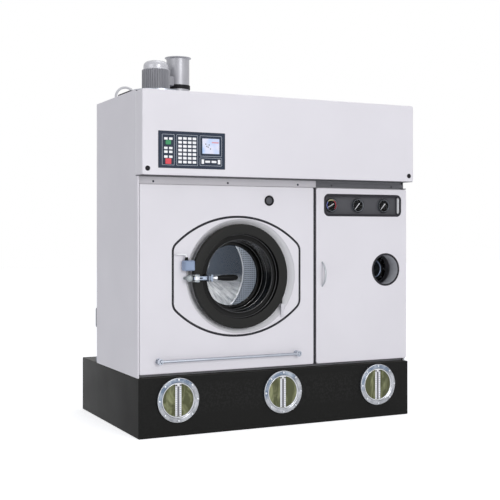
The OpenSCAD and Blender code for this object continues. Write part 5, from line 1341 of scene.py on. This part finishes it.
def drum():
    """The wall is a grid of square cells, each with a round hole: eight points on the cell's edge
    and eight on the hole, joined by quads, on the cylinder about the drum's axis."""
    low, high = corners("drum")
    y0, y1 = low[1] + 0.003, high[1] - 0.003
    r, around, along, hole = 0.4235, 150, 24, 0.32
    turn = np.arange(8) * np.pi / 4
    square = np.stack([np.cos(turn), np.sin(turn)], -1)
    square = square / np.abs(square).max(1)[:, None] / 2
    rim = np.stack([np.cos(turn), np.sin(turn)], -1) * hole
    cell = np.concatenate([square, rim])
    i, j = np.meshgrid(np.arange(around), np.arange(along), indexing="ij")
    u = (i.reshape(-1, 1) + 0.5 + cell[:, 0]) * 2 * np.pi / around
    v = y0 + (j.reshape(-1, 1) + 0.5 + cell[:, 1]) * (y1 - y0) / along
    wall = np.stack([door_x + r * np.cos(u), v, door_z + r * np.sin(u)], -1).reshape(-1, 3)
    k = np.arange(8)
    quads = np.stack([k, (k + 1) % 8, (k + 1) % 8 + 8, k + 8], -1)
    quads = (quads[None] + 16 * np.arange(around * along)[:, None, None]).reshape(-1, 4)
    shell = put("drum_wall", [(wall, quads)], "drum", "polished_steel", ["drum"], drum_steel)
    solidify = shell.modifiers.new("wall", "SOLIDIFY")
    solidify.thickness = 0.0015
    solidify.offset = -1
    back = [(0, 0), (0.4245, 0), (0.4245, -0.003), (0.309, -0.003), (0.306, -0.010), (0.300, -0.010),
            (0.297, -0.003), (0, -0.003)]
    front = [(0.225, 0), (0.4245, 0), (0.4245, 0.003), (0.230, 0.003), (0.229, 0.014), (0.225, 0.014)]
    put("drum_back", [lathe(back, 0.0005, (door_x, high[1], door_z), steps=160, closed=False)], "drum",
        "polished_steel", (), drum_back_steel)
    # The hoop is near-white: a painted highlight along the rear wall's edge.
    hoop = [(0.2975, -0.0095), (0.3005, -0.0125), (0.3055, -0.0125), (0.3085, -0.0095), (0.3085, -0.003),
            (0.2975, -0.003)]
    put("drum_hoop", [lathe(hoop, 0.0008, (door_x, high[1], door_z), steps=160)], "drum",
        "polished_steel", (), bright_steel_and_highlight)
    put("drum_mouth", [lathe(front, 0.0015, (door_x, low[1], door_z), steps=160)], "drum",
        "polished_steel", (), drum_steel)
    seam = [(0.4160, -0.003), (0.4160, -0.009), (0.4225, -0.009), (0.4225, -0.003)]
    put("drum_seam", [lathe(seam, 0.0025, (door_x, high[1], door_z), steps=192)], "drum",
        "polished_steel")


def lifters():
    """Three ribs: a rounded trapezium in the plane across the axis, run along the drum."""
    low, high = corners("drum")
    y0, y1 = low[1] + 0.004, high[1] - 0.004
    parts = []
    section = softened([(-0.050, 0.421), (-0.016, 0.366), (0.016, 0.366), (0.050, 0.421)],
                       [0, 0.010, 0.010, 0], 5, False)
    for k in range(3):
        turn = math.radians(30 + 120 * k)
        x = section[:, 0] * math.cos(turn) + section[:, 1] * math.sin(turn)
        z = -section[:, 0] * math.sin(turn) + section[:, 1] * math.cos(turn)
        flat = np.stack([door_x + x, door_z + z], -1)
        parts.append(solid(np.stack([lift(flat, y0), lift(flat, y1)])))
    put("drum_lifters", parts, "drum", "polished_steel", (), drum_steel)


# ---------- Camera, stage and light ----------

def camera():
    """The photograph's view: level, turned 26 degrees, with the horizon above the middle."""
    lens, turn = bpy.data.cameras.new("camera"), math.radians(-26.03)
    lens.lens, lens.sensor_width = 71.3, 36.0
    lens.shift_y = -0.034
    eye = bpy.data.objects.new("camera", lens)
    eye.location = (-2.691, -5.581, 1.121)
    eye.rotation_euler = (math.radians(90), 0, turn)
    bpy.context.scene.collection.objects.link(eye)
    bpy.context.scene.camera = eye


def seen_directly(tree):
    """1 on camera, glossy and transmission rays."""
    path = add(tree, "ShaderNodeLightPath")
    first = add(tree, "ShaderNodeMath", {0: path.outputs["Is Camera Ray"],
                                         1: path.outputs["Is Glossy Ray"]}, operation="MAXIMUM")
    return add(tree, "ShaderNodeMath", {0: first.outputs[0], 1: path.outputs["Is Transmission Ray"]},
               operation="MAXIMUM").outputs[0]


def world():
    made = bpy.data.worlds.new("studio")
    bpy.context.scene.world = made
    made.use_nodes = True
    tree = made.node_tree
    tree.nodes.clear()
    dim = add(tree, "ShaderNodeBackground", {"Color": linear("e9ecf2"), "Strength": 0.55})
    white = add(tree, "ShaderNodeBackground", {"Color": (1, 1, 1, 1), "Strength": 1.0})
    both = add(tree, "ShaderNodeMixShader", {0: seen_directly(tree), 1: dim.outputs[0],
                                             2: white.outputs[0]})
    result = add(tree, "ShaderNodeOutputWorld")
    tree.links.new(both.outputs[0], result.inputs["Surface"])


def floor():
    mesh = bpy.data.meshes.new("floor")
    half = 25.0
    mesh.from_pydata([(-half, -half, 0), (half, -half, 0), (half, half, 0), (-half, half, 0)], [],
                     [(0, 1, 2, 3)])
    plane = bpy.data.objects.new("floor", mesh)
    bpy.context.scene.collection.objects.link(plane)
    made, tree, shader = new_material("floor", Base_Color=(0.86, 0.86, 0.87, 1), Roughness=0.9)
    shader.inputs["Emission Color"].default_value = (1, 1, 1, 1)
    glow = add(tree, "ShaderNodeMath", {0: seen_directly(tree), 1: 0.60}, operation="MULTIPLY")
    tree.links.new(glow.outputs[0], shader.inputs["Emission Strength"])
    mesh.materials.append(made)


def lamp(name, place, aim, size, power):
    """A white square lamp at a place, turned towards its aim."""
    light = bpy.data.lights.new(name, "AREA")
    light.size, light.energy = size, power
    stand = bpy.data.objects.new(name, light)
    stand.location = place
    stand.rotation_euler = (Vector(aim) - Vector(place)).to_track_quat("-Z", "Y").to_euler()
    bpy.context.scene.collection.objects.link(stand)


def stage():
    world()
    floor()
    lamp("key", (0.3, -7.4, 2.5), (0, 0, 1.0), 3.2, 191)
    lamp("fill", (-6.0, -2.6, 2.8), (0, 0, 1.0), 3.5, 46)
    lamp("top", (0.5, -0.5, 5.2), (0, 0, 1.5), 3.0, 45)
    lamp("drum_light", (door_x, -0.290, door_z + 0.205), (door_x - 0.02, 0.12, door_z - 0.14), 0.10, 3.8)


bpy.context.scene.view_settings.view_transform = "Standard"
camera()
stage()
for make in (front_panel, surround, seam_bead, header, door_gap_shade, side_sheets, service_door,
             service_trims, pull_handle, lintels, screws, handrail, caps, base_tank, controls,
             keys, display, buttons, door_ring, door_lining, glazing, latch, keeper, lock,
             lock_cable, sight_flanges, still_bolts, level_strips, gauges, still_cover, fan_motor, exhaust_duct, roof_hose, pump_motor,
             drum, lifters):
    make()
slots = {row["node"]: row["material_slot"] for row in frame["record"]["subparts"]}
own_finish = {"hinge_bracket": bracket_paint}
for name, piece in frame["nodes"].items():
    piece.data.materials.clear()
    piece.data.materials.append(own_finish.get(name, finishes[slots[name]]))
